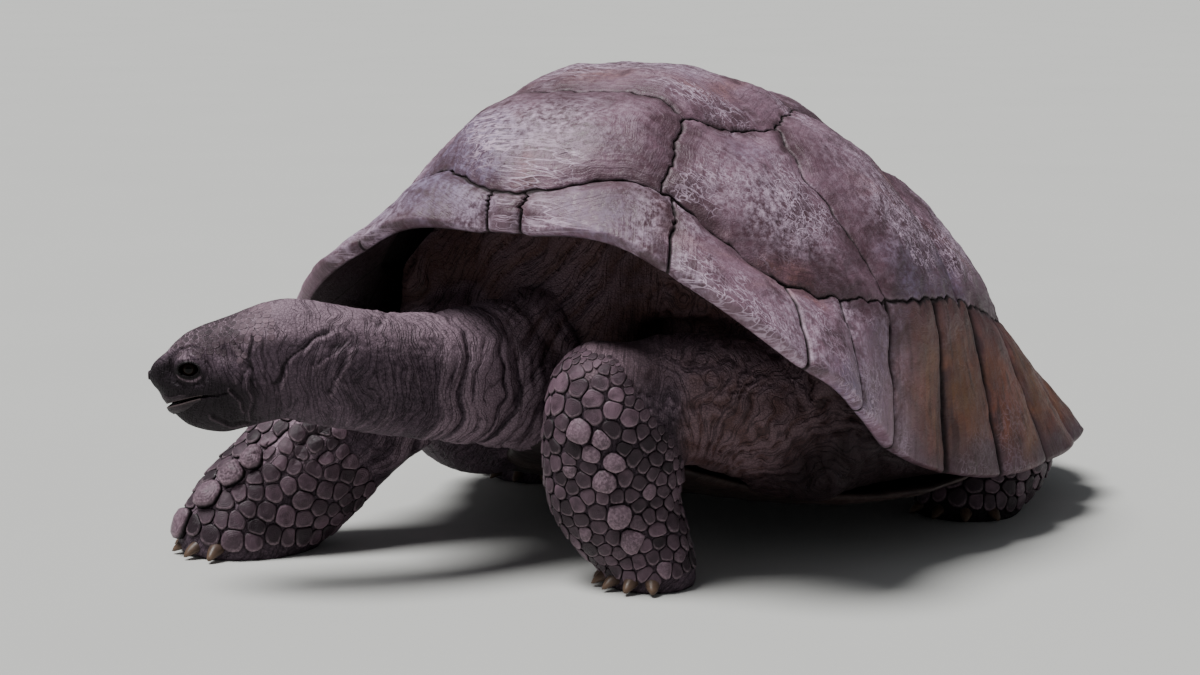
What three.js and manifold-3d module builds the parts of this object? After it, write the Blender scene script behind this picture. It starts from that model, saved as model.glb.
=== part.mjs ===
// A giant tortoise at life size, in mid-stride, with its head turned to its own right.
//
// Millimetres, +Z up. While the model is built the ground is z = 0, the shell's midline is
// x = 0, the head end faces -Y and the animal's left side is +X. The group is moved at the end so
// that its origin is the middle of the floor under it.
//
// The flesh is one whole body: trunk, neck, head, limbs and tail are joined first, the shell is
// taken out of them, and thin cuts then part them into the pieces that a person would name.
// Scutes, scales and claws are raised pieces, each rooted in the node it grows from.
import * as THREE from "three";
import { mergeVertices } from "three/addons/utils/BufferGeometryUtils.js";
import Module from "manifold-3d";

const wasm = await Module();
wasm.setup();

// ---------------------------------------------------------------- driving dimensions

const GAP = 0.3; // between neighbouring nodes

// The shell is a dome over a chart: an angle round it, 0 at the front and 180 at the back, and a
// reach t from 0 at the top to 1 at the rim. The ring is the seam above the marginal scutes.
const DOME_TOP = 630;
const DOME_CENTRE_Y = -93;
const DOME_LEAN = 160; // lifts the front of the dome and lowers the back of it
const RING_REACH = 0.8;
const SHELL_WALL = 14;
const SHELL_STATIONS = [
  // angle, ring radius, ring height, rim radius, rim height, fullness of the dome
  [0, 488, 510, 495, 462, 0.7],
  [20, 445, 525, 526, 457, 0.7],
  [45, 460, 391, 566, 307, 0.5],
  [65, 430, 363, 446, 174, 0.6],
  [90, 408, 343, 452, 108, 0.5],
  [120, 432, 288, 538, 98, 0.58],
  [150, 503, 238, 648, 93, 0.3],
  [180, 565, 222, 697, 115, 0.2],
];
const OUTER_REACHES = [0.28, 0.54, RING_REACH]; // the rings of points that the shell is built on
const INNER_REACHES = [RING_REACH, 0.54, 0.28];

// Corners of the scutes on the chart, left half: x towards the animal's left, y towards its back.
const RING_V1 = 24;
const RING_C1_C2 = 68;
const RING_C2_C3 = 104;
const RING_C3_C4 = 132;
const RING_C4_V5 = 157;
const V1_CORNER = [0.18, -0.334];
const V1_V2_MIDDLE = [0, -0.22];
const V2_SIDE = [0.267, -0.159];
const V2_V3_CORNER = [0.2, 0];
const V2_V3_MIDDLE = [0, 0.075];
const V3_SIDE = [0.27, 0.13];
const V3_V4_CORNER = [0.19, 0.28];
const V3_V4_MIDDLE = [0, 0.27];
const V4_SIDE = [0.24, 0.4];
const V4_V5_CORNER = [0.15, 0.52];
const V4_V5_MIDDLE = [0, 0.5];
const C1_C2_BENDS = [
  [0.426, -0.234],
  [0.559, -0.27],
];
const C2_C3_BEND = [0.5, 0.17];
const MARGINAL_SEAMS = [3, 26, 44, 54, 65, 81, 97, 113, 128, 142, 156, 170]; // degrees, each side

const SCUTE_GROOVE = 0.008; // half the seam between scutes, as reach on the chart
const SCUTE_ROOT = -9; // how deep a plate sits in the shell wall
const SCUTE_EDGE = 4; // height of a plate at its edge
const SCUTE_RISE = 13; // height of a main plate at its middle
const SCUTE_BEVEL = [0.88, 0.6]; // where the bevel ends, and how much of the rise is behind it
const SCUTE_POINTS = 16; // points round a main plate
const MARGINAL_ROOT = -6;
const MARGINAL_RISE = 7;
const MARGINAL_TOP = 0.815; // reach of a marginal's upper and lower edges
const MARGINAL_FOOT = 0.987;
const MARGINAL_GROOVE = 0.6; // half the seam between marginals, in degrees
const RIM_SCALLOP = 9; // how far a hind marginal stands out past its seams

// The plastron: half width at each place along the body, and how its underside lies.
const PLASTRON_THICK = 18;
const PLASTRON_HEIGHT = 64;
const PLASTRON_FRONT_LIFT = 92;
const PLASTRON_LIFT_FROM = -200;
const BRIDGE_REACH = 424;
const BRIDGE_LIFT = 26;
const PLASTRON_WIDTHS = [
  // y, half width
  [-440, 62],
  [-390, 120],
  [-290, 200],
  [-215, 330],
  [-165, 412],
  [-60, BRIDGE_REACH],
  [20, 380],
  [90, 262],
  [200, 224],
  [310, 205],
  [400, 140],
  [462, 50],
];
const PLASTRON_SEAMS = [-440, -390, -290, -165, 20, 200, 345, 462]; // y of each row of plates
const PLASTRON_PLATE_RISE = 5;

// The trunk inside the shell: centre height, half width and half height along the body.
const TRUNK_STATIONS = [
  // y, x, z, half width, half height
  [-412, -70, 257, 40, 40],
  [-400, -62, 257, 105, 85],
  [-365, -36, 262, 175, 125],
  [-335, -14, 285, 290, 220],
  [-290, 0, 300, 420, 330],
  [-60, 0, 317, 560, 350],
  [200, 0, 302, 590, 350],
  [380, 0, 242, 510, 300],
  [510, 0, 197, 360, 190],
  [560, 0, 167, 150, 80],
];

// Directions in plan that the pose is set out from.
const HEAD_AIM = new THREE.Vector3(-0.856, -0.517, 0); // the way the head points
const HEAD_SIDE = new THREE.Vector3(0.517, -0.856, 0); // towards the head's left cheek
const UP = new THREE.Vector3(0, 0, 1);

// Limbs and neck: centre, half size along the side direction, half size across it.
const NECK_STATIONS = [
  [-40, -290, 234, 84, 98],
  [-80, -390, 248, 80, 98],
  [-97, -460, 252, 74, 94],
  [-122, -545, 258, 68, 84],
  [-148, -620, 265, 64, 78],
  [-182, -680, 278, 61, 75],
  [-222, -728, 293, 58, 78],
  [-262, -764, 302, 50, 74],
];
const FOREARM_LEFT = [
  [166, -489, -12, 54, 56],
  [162, -490, 14, 58, 60],
  [150, -494, 52, 62, 64],
  [130, -505, 92, 78, 70],
  [119, -511, 136, 90, 75],
  [116, -513, 184, 89, 77],
  [114, -515, 232, 83, 76],
  [116, -514, 266, 76, 70],
  [119, -511, 296, 60, 58],
  [121, -510, 316, 36, 38],
];
const UPPER_ARM_LEFT = [
  [118, -500, 248, 56, 60],
  [150, -455, 246, 72, 76],
  [190, -385, 230, 82, 90],
  [214, -310, 208, 84, 94],
  [205, -230, 204, 84, 90],
  [150, -160, 232, 70, 80],
];
const FORELEG_RIGHT = [
  [-424, -612, -14, 70, 84],
  [-420, -606, 16, 72, 88],
  [-405, -580, 52, 74, 90],
  [-376, -545, 92, 78, 90],
  [-345, -500, 140, 82, 90],
  [-305, -445, 190, 84, 88],
  [-255, -380, 236, 86, 88],
  [-195, -305, 262, 84, 88],
  [-140, -230, 262, 70, 78],
];
const HIND_LEG_LEFT = [
  [328, 138, -14, 74, 78],
  [328, 140, 14, 76, 80],
  [332, 156, 46, 82, 86],
  [338, 186, 84, 92, 98],
  [326, 214, 132, 100, 108],
  [290, 228, 192, 96, 106],
  [240, 220, 252, 80, 90],
];
const HIND_LEG_RIGHT = [
  [-352, 46, -14, 74, 78],
  [-351, 50, 14, 76, 80],
  [-348, 76, 46, 82, 86],
  [-342, 120, 84, 90, 92],
  [-326, 172, 130, 98, 104],
  [-290, 208, 190, 96, 106],
  [-240, 214, 252, 80, 90],
];
const TAIL_STATIONS = [
  [0, 470, 187, 60, 60],
  [0, 530, 150, 46, 44],
  [8, 572, 108, 34, 32],
  [22, 594, 70, 22, 21],
  [34, 600, 40, 11, 10],
];

// Scales: staggered rows on each leg, as the place along it from the foot up, the span of angles
// round it and the radius of a scale.
const SCALE_ROOT = 6; // how deep a scale sits in the skin
const SCALE_HEIGHT = 6; // of a scale with a radius of SCALE_NORM
const SCALE_NORM = 17;
const SCALE_FLOOR = 10; // the least height of a scale's edge above the ground
const FORE_SCALES_LEFT = [
  { at: 0.15, from: 150, to: 330, radius: 17 },
  { at: 0.27, from: 140, to: 345, radius: 19 },
  { at: 0.39, from: 130, to: 350, radius: 20 },
  { at: 0.51, from: 130, to: 350, radius: 19 },
  { at: 0.63, from: 130, to: 350, radius: 18 },
  { at: 0.75, from: 130, to: 330, radius: 17 },
];
const FORE_SCALES_RIGHT = [
  { at: 0.14, from: -110, to: 90, radius: 19 },
  { at: 0.22, from: -110, to: 100, radius: 20 },
  { at: 0.3, from: -105, to: 100, radius: 20 },
  { at: 0.38, from: -100, to: 100, radius: 19 },
  { at: 0.46, from: -90, to: 95, radius: 18 },
];
const HIND_SCALES_LEFT = [
  { at: 0.2, from: 280, to: 430, radius: 19 },
  { at: 0.34, from: 300, to: 430, radius: 19 },
];
const HIND_SCALES_RIGHT = [
  { at: 0.2, from: 50, to: 190, radius: 19 },
  { at: 0.34, from: 50, to: 170, radius: 19 },
];

// Claws: a fan at the front of each foot, with the way it heads and how far it spreads in degrees.
const CLAW_FLOOR = 0.8; // how far the claws stay above the ground
const CLAW_SIDES = 6;
const FORE_CLAW = { length: 36, radius: 11 };
const HIND_CLAW = { length: 34, radius: 11 };
const FORE_CLAWS_LEFT = { middle: [160, -491], reach: 44, heading: -22, spread: 110, count: 5 };
const FORE_CLAWS_RIGHT = { middle: [-420, -607], reach: 62, heading: -42, spread: 105, count: 5 };
const HIND_CLAWS_LEFT = { middle: [328, 140], reach: 62, heading: 8, spread: 90, count: 4 };
const HIND_CLAWS_RIGHT = { middle: [-351, 50], reach: 62, heading: -8, spread: 90, count: 4 };

// The head's own frame starts at the middle of the skull, level with the eye: a runs forward to
// the snout, h runs up.
const HEAD_ORIGIN = new THREE.Vector3(-328, -815, 293);
const HEAD_STATIONS = [
  // a, top, bottom, half width
  [54, -6, -19, 5],
  [51, -1, -24, 11],
  [45, 6, -31, 17],
  [34, 16, -48, 23],
  [22, 29, -64, 28],
  [6, 42, -77, 33],
  [-16, 52, -84, 41],
  [-42, 61, -86, 49],
  [-68, 73, -80, 54],
  [-92, 83, -74, 56],
  [-114, 89, -68, 54],
  [-134, 84, -62, 46],
  [-150, 60, -30, 26],
];
const MOUTH_CORNER = [-56, -28];
const MOUTH_UPPER = [
  [80, -50],
  [33, -48],
  [26, -43],
  [8, -40.5],
  [-12, -38],
  [-34, -33],
];
const MOUTH_LOWER = [
  [-34, -33.6],
  [-12, -40],
  [8, -45],
  [22, -49],
  [30, -53],
  [80, -60],
];
const JAW_BACK = [-78, -130];
const EYE_RADIUS = 12;
const EYE_DEPTH = 26; // from the middle of the skull to the middle of the eye
const LID_SIZE = [19, 13, 15]; // half length, half thickness and half height of the lids
const LID_DEPTH = 27;
const EYE_OPENING = [10, 9, 7.5];
const NOSTRIL = { a: 51, side: 6, h: -8, radius: 3 };
const HEAD_CUT = -112; // where the neck meets the skull

const seeded = (seed) => {
  let state = seed;
  return () => {
    state = (state * 1664525 + 1013904223) % 4294967296;
    return state / 4294967296;
  };
};

// ---------------------------------------------------------------- solids from point rings

// A closed mesh as a manifold solid, turned the right way out.
function solid(geometry) {
  const bare = geometry.clone();
  bare.deleteAttribute("normal");
  bare.deleteAttribute("uv");
  const merged = mergeVertices(bare, 1e-4);
  const points = merged.attributes.position.array;
  const faces = Array.from(merged.index.array);
  let volume = 0;
  const a = new THREE.Vector3();
  const b = new THREE.Vector3();
  const c = new THREE.Vector3();
  for (let i = 0; i < faces.length; i += 3) {
    a.fromArray(points, faces[i] * 3);
    b.fromArray(points, faces[i + 1] * 3);
    c.fromArray(points, faces[i + 2] * 3);
    volume += a.dot(b.cross(c));
  }
  if (volume < 0) faces.reverse();
  return new wasm.Manifold(
    new wasm.Mesh({
      numProp: 3,
      vertProperties: Float32Array.from(points),
      triVerts: Uint32Array.from(faces),
    }),
  );
}

// Rings of points, from one end to the other, closed at each end by a fan round one point.
function lofted(first, rings, last) {
  const around = rings[0].length;
  const points = [first, ...rings.flat(), last];
  const faces = [];
  const at = (ring, k) => 1 + ring * around + (k % around);
  for (let k = 0; k < around; k++) {
    faces.push(0, at(0, k), at(0, k + 1));
    faces.push(points.length - 1, at(rings.length - 1, k + 1), at(rings.length - 1, k));
  }
  for (let ring = 0; ring + 1 < rings.length; ring++) {
    for (let k = 0; k < around; k++) {
      faces.push(at(ring, k), at(ring + 1, k), at(ring + 1, k + 1));
      faces.push(at(ring, k), at(ring + 1, k + 1), at(ring, k + 1));
    }
  }
  const geometry = new THREE.BufferGeometry().setFromPoints(points);
  geometry.setIndex(faces);
  return geometry;
}

function middleOf(points) {
  const sum = new THREE.Vector3();
  points.forEach((point) => sum.add(point));
  return sum.divideScalar(points.length);
}

function largest(body) {
  const pieces = body.decompose();
  pieces.sort((one, other) => other.volume() - one.volume());
  return pieces[0];
}

function geometryOf(body) {
  const mesh = body.getMesh();
  const geometry = new THREE.BufferGeometry();
  const positions = new Float32Array(mesh.numVert * 3);
  for (let i = 0; i < mesh.numVert; i++) {
    for (let k = 0; k < 3; k++) positions[i * 3 + k] = mesh.vertProperties[i * mesh.numProp + k];
  }
  geometry.setAttribute("position", new THREE.BufferAttribute(positions, 3));
  geometry.setIndex(Array.from(mesh.triVerts));
  return geometry;
}

// ---------------------------------------------------------------- the shell's surface

// A column of the shell's stations at any angle, the same on both sides and smooth all round.
function shellValue(column, degrees) {
  const angle = Math.abs(THREE.MathUtils.euclideanModulo(degrees + 180, 360) - 180);
  const rows = SHELL_STATIONS;
  const slope = (i) => {
    if (i === 0 || i === rows.length - 1) return 0;
    const before = rows[i][0] - rows[i - 1][0];
    const after = rows[i + 1][0] - rows[i][0];
    const rise = (rows[i][column] - rows[i - 1][column]) / before;
    const next = (rows[i + 1][column] - rows[i][column]) / after;
    return (rise * after + next * before) / (before + after);
  };
  let i = 0;
  while (i < rows.length - 2 && angle > rows[i + 1][0]) i++;
  const span = rows[i + 1][0] - rows[i][0];
  const s = (angle - rows[i][0]) / span;
  const from = rows[i][column] * (1 + 2 * s) * (1 - s) ** 2 + slope(i) * span * s * (1 - s) ** 2;
  const to = rows[i + 1][column] * s * s * (3 - 2 * s) + slope(i + 1) * span * s * s * (s - 1);
  return from + to;
}

// How far the rim stands out at an angle: each marginal of the hind half ends in a blunt point.
function scallop(degrees) {
  const angle = Math.abs(THREE.MathUtils.euclideanModulo(degrees + 180, 360) - 180);
  const seams = [-MARGINAL_SEAMS[0], ...MARGINAL_SEAMS, 360 - MARGINAL_SEAMS.at(-1)];
  let i = 0;
  while (angle > seams[i + 1]) i++;
  const share = (angle - seams[i]) / (seams[i + 1] - seams[i]);
  const hind = THREE.MathUtils.smoothstep(angle, 60, 150);
  return RIM_SCALLOP * (0.35 + 0.65 * hind) * (Math.sin(Math.PI * share) - 0.5);
}

function domePoint(degrees, reach) {
  const ringRadius = shellValue(1, degrees);
  const ringHeight = shellValue(2, degrees);
  const rimRadius = shellValue(3, degrees) + scallop(degrees);
  const rimHeight = shellValue(4, degrees);
  const sweep = (shellValue(5, degrees) * Math.PI) / 2;
  const arc = (Math.min(reach, RING_REACH) / RING_REACH) * sweep;
  let radius = (ringRadius * Math.sin(arc)) / Math.sin(sweep);
  const climb = (Math.cos(arc) - Math.cos(sweep)) / (1 - Math.cos(sweep));
  let height = ringHeight + (DOME_TOP - ringHeight) * climb;
  if (reach > RING_REACH) {
    const share = (reach - RING_REACH) / (1 - RING_REACH);
    radius = ringRadius + (rimRadius - ringRadius) * share;
    height = ringHeight + (rimHeight - ringHeight) * share;
  }
  const share = Math.min(reach / RING_REACH, 1);
  height += DOME_LEAN * share * (1 - share) * Math.cos(THREE.MathUtils.degToRad(degrees));
  const angle = THREE.MathUtils.degToRad(degrees);
  return new THREE.Vector3(radius * Math.sin(angle), DOME_CENTRE_Y - radius * Math.cos(angle), height);
}

// A point lifted off the dome, outwards where lift is positive.
function shellPoint(degrees, reach, lift = 0) {
  const near = Math.max(reach, 0.03);
  const turn = 1;
  const step = 0.02;
  const along = domePoint(degrees + turn, near).sub(domePoint(degrees - turn, near));
  const down = domePoint(degrees, near + step).sub(domePoint(degrees, near - step));
  const normal = down.cross(along).normalize();
  const out = domePoint(degrees, near).sub(new THREE.Vector3(0, DOME_CENTRE_Y, 150));
  if (normal.dot(out) < 0) normal.negate();
  return domePoint(degrees, reach).addScaledVector(normal, lift);
}

const onRing = (degrees, reach = RING_REACH) => {
  const angle = THREE.MathUtils.degToRad(degrees);
  return [reach * Math.sin(angle), -reach * Math.cos(angle)];
};

function chartPoint([x, y], lift) {
  const degrees = THREE.MathUtils.radToDeg(Math.atan2(x, -y));
  return shellPoint(degrees, Math.hypot(x, y), lift);
}

// The angles that the shell is divided at: every marginal seam and the middle of every marginal.
function shellAngles() {
  const seams = [-MARGINAL_SEAMS[0], ...MARGINAL_SEAMS];
  const half = [];
  for (let i = 0; i + 1 < seams.length; i++) half.push((seams[i] + seams[i + 1]) / 2, seams[i + 1]);
  const left = half.slice(1);
  return [0, ...left, 180, ...left.map((angle) => -angle).reverse()];
}

// The dome between an outer and an inner lift, open below.
function bowl(outer, inner, rim = 1) {
  const ring = (reach, lift) => shellAngles().map((angle) => shellPoint(angle, reach, lift));
  const rings = [
    ...[...OUTER_REACHES, rim].map((reach) => ring(reach, outer)),
    ...[rim, ...INNER_REACHES].map((reach) => ring(reach, inner)),
  ];
  return lofted(shellPoint(0, 0, outer), rings, shellPoint(0, 0, inner));
}

// ---------------------------------------------------------------- carapace

// Evenly spaced points round an outline on the chart.
function resampled(outline, count) {
  const lengths = outline.map(([x, y], i) => {
    const [nextX, nextY] = outline[(i + 1) % outline.length];
    return Math.hypot(nextX - x, nextY - y);
  });
  const total = lengths.reduce((sum, length) => sum + length, 0);
  const points = [];
  let side = 0;
  let before = 0;
  for (let k = 0; k < count; k++) {
    const wanted = (total * k) / count;
    while (wanted > before + lengths[side] && side < outline.length - 1) {
      before += lengths[side];
      side += 1;
    }
    const share = (wanted - before) / lengths[side];
    const [x, y] = outline[side];
    const [nextX, nextY] = outline[(side + 1) % outline.length];
    points.push([x + (nextX - x) * share, y + (nextY - y) * share]);
  }
  return points;
}

// One raised plate over an outline: its root below, then edge, bevel and crown above.
function plate(outline, place, { groove, edge, rise, crown, root }) {
  const middle = [0, 1].map((k) => outline.reduce((sum, point) => sum + point[k], 0) / outline.length);
  const scaled = (share) =>
    outline.map(([x, y]) => {
      const away = Math.hypot(x - middle[0], y - middle[1]);
      const kept = share * (1 - groove / away);
      return [middle[0] + (x - middle[0]) * kept, middle[1] + (y - middle[1]) * kept];
    });
  const ring = (share, lift) => scaled(share).map((point) => place(point, lift));
  const rings = [
    ...[0.25, 0.5, 0.75, 1].map((share) => ring(share, root)),
    ring(1, edge),
    ...crown.map(([share, height]) => ring(share, edge + (rise - edge) * height)),
  ];
  return solid(lofted(place(middle, root), rings, place(middle, rise)));
}

const mirrored = (outline) => outline.map(([x, y]) => [-x, y]).reverse();

function ringArc(from, to, count = 4) {
  const points = [];
  for (let k = 0; k <= count; k++) points.push(onRing(from + ((to - from) * k) / count));
  return points;
}

function mainScutes() {
  const other = ([x, y]) => [-x, y];
  const middle = [
    [...ringArc(-RING_V1, RING_V1, 6), V1_CORNER, V1_V2_MIDDLE, other(V1_CORNER)],
    [V1_V2_MIDDLE, V1_CORNER, V2_SIDE, V2_V3_CORNER, V2_V3_MIDDLE]
      .concat([other(V2_V3_CORNER), other(V2_SIDE), other(V1_CORNER)]),
    [V2_V3_MIDDLE, V2_V3_CORNER, V3_SIDE, V3_V4_CORNER, V3_V4_MIDDLE]
      .concat([other(V3_V4_CORNER), other(V3_SIDE), other(V2_V3_CORNER)]),
    [V3_V4_MIDDLE, V3_V4_CORNER, V4_SIDE, V4_V5_CORNER, V4_V5_MIDDLE]
      .concat([other(V4_V5_CORNER), other(V4_SIDE), other(V3_V4_CORNER)]),
    [V4_V5_MIDDLE, V4_V5_CORNER, ...ringArc(RING_C4_V5, 360 - RING_C4_V5, 6), other(V4_V5_CORNER)],
  ];
  const left = [
    [V1_CORNER, V2_SIDE, ...C1_C2_BENDS, ...ringArc(RING_C1_C2, RING_V1)],
    [V2_SIDE, V2_V3_CORNER, V3_SIDE, C2_C3_BEND, ...ringArc(RING_C2_C3, RING_C1_C2)]
      .concat([...C1_C2_BENDS].reverse()),
    [V3_SIDE, V3_V4_CORNER, V4_SIDE, ...ringArc(RING_C3_C4, RING_C2_C3), C2_C3_BEND],
    [V4_SIDE, V4_V5_CORNER, ...ringArc(RING_C4_V5, RING_C3_C4)],
  ];
  const crown = [SCUTE_BEVEL];
  const sizes = { groove: SCUTE_GROOVE, edge: SCUTE_EDGE, rise: SCUTE_RISE, crown, root: SCUTE_ROOT };
  const outlines = [...middle, ...left, ...left.map(mirrored)];
  return outlines.map((outline) => plate(resampled(outline, SCUTE_POINTS), chartPoint, sizes));
}

// The marginals are cut out in angle and reach, so their sides run straight down to the rim.
function marginalScutes() {
  const place = ([degrees, reach], lift) => shellPoint(degrees, reach, lift);
  const seams = [-MARGINAL_SEAMS[0], ...MARGINAL_SEAMS, 360 - MARGINAL_SEAMS.at(-1)];
  const waist = (MARGINAL_TOP + MARGINAL_FOOT) / 2;
  const plates = [];
  for (let i = 0; i + 1 < seams.length; i++) {
    const from = seams[i] + MARGINAL_GROOVE;
    const to = seams[i + 1] - MARGINAL_GROOVE;
    const middle = (from + to) / 2;
    const outline = [
      [from, MARGINAL_TOP],
      [middle, MARGINAL_TOP],
      [to, MARGINAL_TOP],
      [to, waist],
      [to, MARGINAL_FOOT],
      [middle, MARGINAL_FOOT],
      [from, MARGINAL_FOOT],
      [from, waist],
    ];
    const sizes = { groove: 0, edge: SCUTE_EDGE, rise: MARGINAL_RISE, crown: [], root: MARGINAL_ROOT };
    plates.push(plate(outline, place, sizes));
    const alone = i === 0 || i === seams.length - 2;
    if (!alone) plates.push(plate(mirrored(outline), place, sizes));
  }
  return plates;
}

const carapaceWall = solid(bowl(0, -SHELL_WALL));
const carapace = largest(wasm.Manifold.union([carapaceWall, ...mainScutes(), ...marginalScutes()]));

// What the flesh keeps clear of: the whole shell, thicker by the gap.
const CARAPACE_CLEARANCE = SCUTE_RISE + 8;
const carapaceRoom = solid(bowl(CARAPACE_CLEARANCE, -SHELL_WALL - GAP, 1.003));

// ---------------------------------------------------------------- plastron

function plastronWidth(y) {
  const rows = PLASTRON_WIDTHS;
  let i = 0;
  while (i < rows.length - 2 && y > rows[i + 1][0]) i++;
  const share = THREE.MathUtils.clamp((y - rows[i][0]) / (rows[i + 1][0] - rows[i][0]), 0, 1);
  return rows[i][1] + (rows[i + 1][1] - rows[i][1]) * share;
}

// Height of the plastron's underside: level, rising to the throat and towards the bridges.
function plastronHeight(x, y) {
  const front = THREE.MathUtils.clamp((PLASTRON_LIFT_FROM - y) / 240, 0, 1.2);
  const side = Math.abs(x) / BRIDGE_REACH;
  return PLASTRON_HEIGHT + PLASTRON_FRONT_LIFT * front ** 1.4 + BRIDGE_LIFT * side ** 4;
}

// A slab with the plastron's outline, between two heights measured from its underside.
function plastronSlab(bottom, top, grown) {
  const columns = 4;
  const front = PLASTRON_WIDTHS[0][0] - grown;
  const back = PLASTRON_WIDTHS.at(-1)[0] + grown;
  const rings = [];
  for (const [y] of PLASTRON_WIDTHS) {
    const at = y === PLASTRON_WIDTHS[0][0] ? front : y === PLASTRON_WIDTHS.at(-1)[0] ? back : y;
    const half = plastronWidth(y) + grown;
    const under = [];
    const over = [];
    for (let k = 0; k <= columns; k++) {
      const x = half * (-1 + (2 * k) / columns);
      const height = plastronHeight(x, y);
      under.push(new THREE.Vector3(x, at, height + bottom));
      over.unshift(new THREE.Vector3(x, at, height + top));
    }
    rings.push([...under, ...over]);
  }
  return solid(lofted(middleOf(rings[0]), rings, middleOf(rings.at(-1))));
}

function plastronPlates() {
  const place = ([x, y], lift) => new THREE.Vector3(x, y, plastronHeight(x, y) - lift);
  const seamHalf = 4;
  const plates = [];
  for (let i = 0; i + 1 < PLASTRON_SEAMS.length; i++) {
    const from = PLASTRON_SEAMS[i] + seamHalf;
    const to = PLASTRON_SEAMS[i + 1] - seamHalf;
    const between = PLASTRON_WIDTHS.map(([y]) => y).filter((y) => y > from + 10 && y < to - 10);
    const outline = [
      [seamHalf, from],
      ...[from, ...between, to].map((y) => [plastronWidth(y) - seamHalf, y]),
      [seamHalf, to],
    ];
    const sizes = { groove: 0, edge: 2, rise: PLASTRON_PLATE_RISE, crown: [], root: -4 };
    plates.push(plate(outline, place, sizes), plate(mirrored(outline), place, sizes));
  }
  return plates;
}

const plastronWall = plastronSlab(0, PLASTRON_THICK, 0);
const plastron = largest(wasm.Manifold.union([plastronWall, ...plastronPlates()]));
const plastronRoom = plastronSlab(-60, PLASTRON_THICK + GAP, GAP);

// ---------------------------------------------------------------- limbs, neck and tail

// A bent tapering body through its stations. side is the direction that the first size runs in.
function limbFrame(stations, side) {
  const centre = new THREE.CatmullRomCurve3(stations.map(([x, y, z]) => new THREE.Vector3(x, y, z)));
  const size = new THREE.CatmullRomCurve3(stations.map(([, , , wide, deep]) => new THREE.Vector3(wide, deep)));
  // A point of the surface at u along the limb and an angle round it, with its outward direction.
  const surface = (u, angle, lift = 0) => {
    const along = centre.getTangent(u);
    const across = side.clone().addScaledVector(along, -side.dot(along)).normalize();
    const third = new THREE.Vector3().crossVectors(along, across);
    const { x: wide, y: deep } = size.getPoint(u);
    const point = centre.getPoint(u);
    const normal = across.clone().multiplyScalar(Math.cos(angle) / wide);
    normal.addScaledVector(third, Math.sin(angle) / deep).normalize();
    point.addScaledVector(across, wide * Math.cos(angle));
    point.addScaledVector(third, deep * Math.sin(angle));
    return { point: point.addScaledVector(normal, lift), normal, along, wide, deep };
  };
  return { centre, surface };
}

function limb(stations, side, { steps, around }) {
  const { centre, surface } = limbFrame(stations, side);
  const rings = [];
  for (let i = 0; i <= steps; i++) {
    const ring = [];
    for (let k = 0; k < around; k++) ring.push(surface(i / steps, (k / around) * 2 * Math.PI).point);
    rings.push(ring);
  }
  return solid(lofted(centre.getPoint(0), rings, centre.getPoint(1)));
}

const sideways = new THREE.Vector3(0.856, 0.517, 0); // square to the head's cheek, in plan

const neckBody = limb(NECK_STATIONS, HEAD_SIDE, { steps: 11, around: 16 });
const forearmLeft = limb(FOREARM_LEFT, sideways, { steps: 10, around: 14 });
const upperArmLeft = limb(UPPER_ARM_LEFT, sideways, { steps: 6, around: 12 });
const forelegRight = limb(FORELEG_RIGHT, HEAD_SIDE, { steps: 11, around: 14 });
const hindLegLeft = limb(HIND_LEG_LEFT, sideways, { steps: 7, around: 14 });
const hindLegRight = limb(HIND_LEG_RIGHT, sideways, { steps: 7, around: 14 });
const tailBody = limb(TAIL_STATIONS, sideways, { steps: 6, around: 8 });

// ---------------------------------------------------------------- scales and claws

// A horny scale: a six-sided plate with sloping sides and a crowned top, rooted in the skin.
function scaleOn({ point, normal, along }, radius, height, turn) {
  const across = new THREE.Vector3().crossVectors(along, normal).normalize();
  const upward = new THREE.Vector3().crossVectors(normal, across);
  const sides = 6;
  const ring = (share, lift) => {
    const points = [];
    for (let k = 0; k < sides; k++) {
      const angle = turn + (k / sides) * 2 * Math.PI;
      const corner = point.clone().addScaledVector(normal, lift);
      corner.addScaledVector(across, radius * share * Math.cos(angle));
      corner.addScaledVector(upward, radius * share * Math.sin(angle));
      points.push(corner);
    }
    return points;
  };
  const lowest = point.clone().addScaledVector(normal, -SCALE_ROOT);
  const top = point.clone().addScaledVector(normal, height);
  return solid(lofted(lowest, [ring(1.05, -SCALE_ROOT), ring(0.74, height * 0.75)], top));
}

// The scales of a leg, row by row and each a little off its place and size.
function scaleRows(stations, side, rows, seed) {
  const { surface, centre } = limbFrame(stations, side);
  const random = seeded(seed);
  const spacing = 2.45; // radii from the middle of one scale to the next
  const stray = 5; // millimetres along the leg
  const scales = [];
  rows.forEach(({ at, from, to, radius }, index) => {
    const { wide, deep } = surface(at, 0);
    const reach = (THREE.MathUtils.degToRad(to - from) * (wide + deep)) / 2;
    const count = Math.round(reach / (spacing * radius));
    for (let k = 0; k < count; k++) {
      const share = (k + (index % 2 ? 0.75 : 0.25)) / count;
      const angle = THREE.MathUtils.degToRad(from + (to - from) * share);
      const along = at + (random() - 0.5) * (stray / centre.getLength());
      const size = radius * (0.88 + 0.2 * random());
      const height = (SCALE_HEIGHT * size) / SCALE_NORM;
      const turn = random() * Math.PI;
      const spot = surface(along, angle);
      if (spot.point.z > size + SCALE_FLOOR) scales.push(scaleOn(spot, size, height, turn));
    }
  });
  return scales;
}

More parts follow.
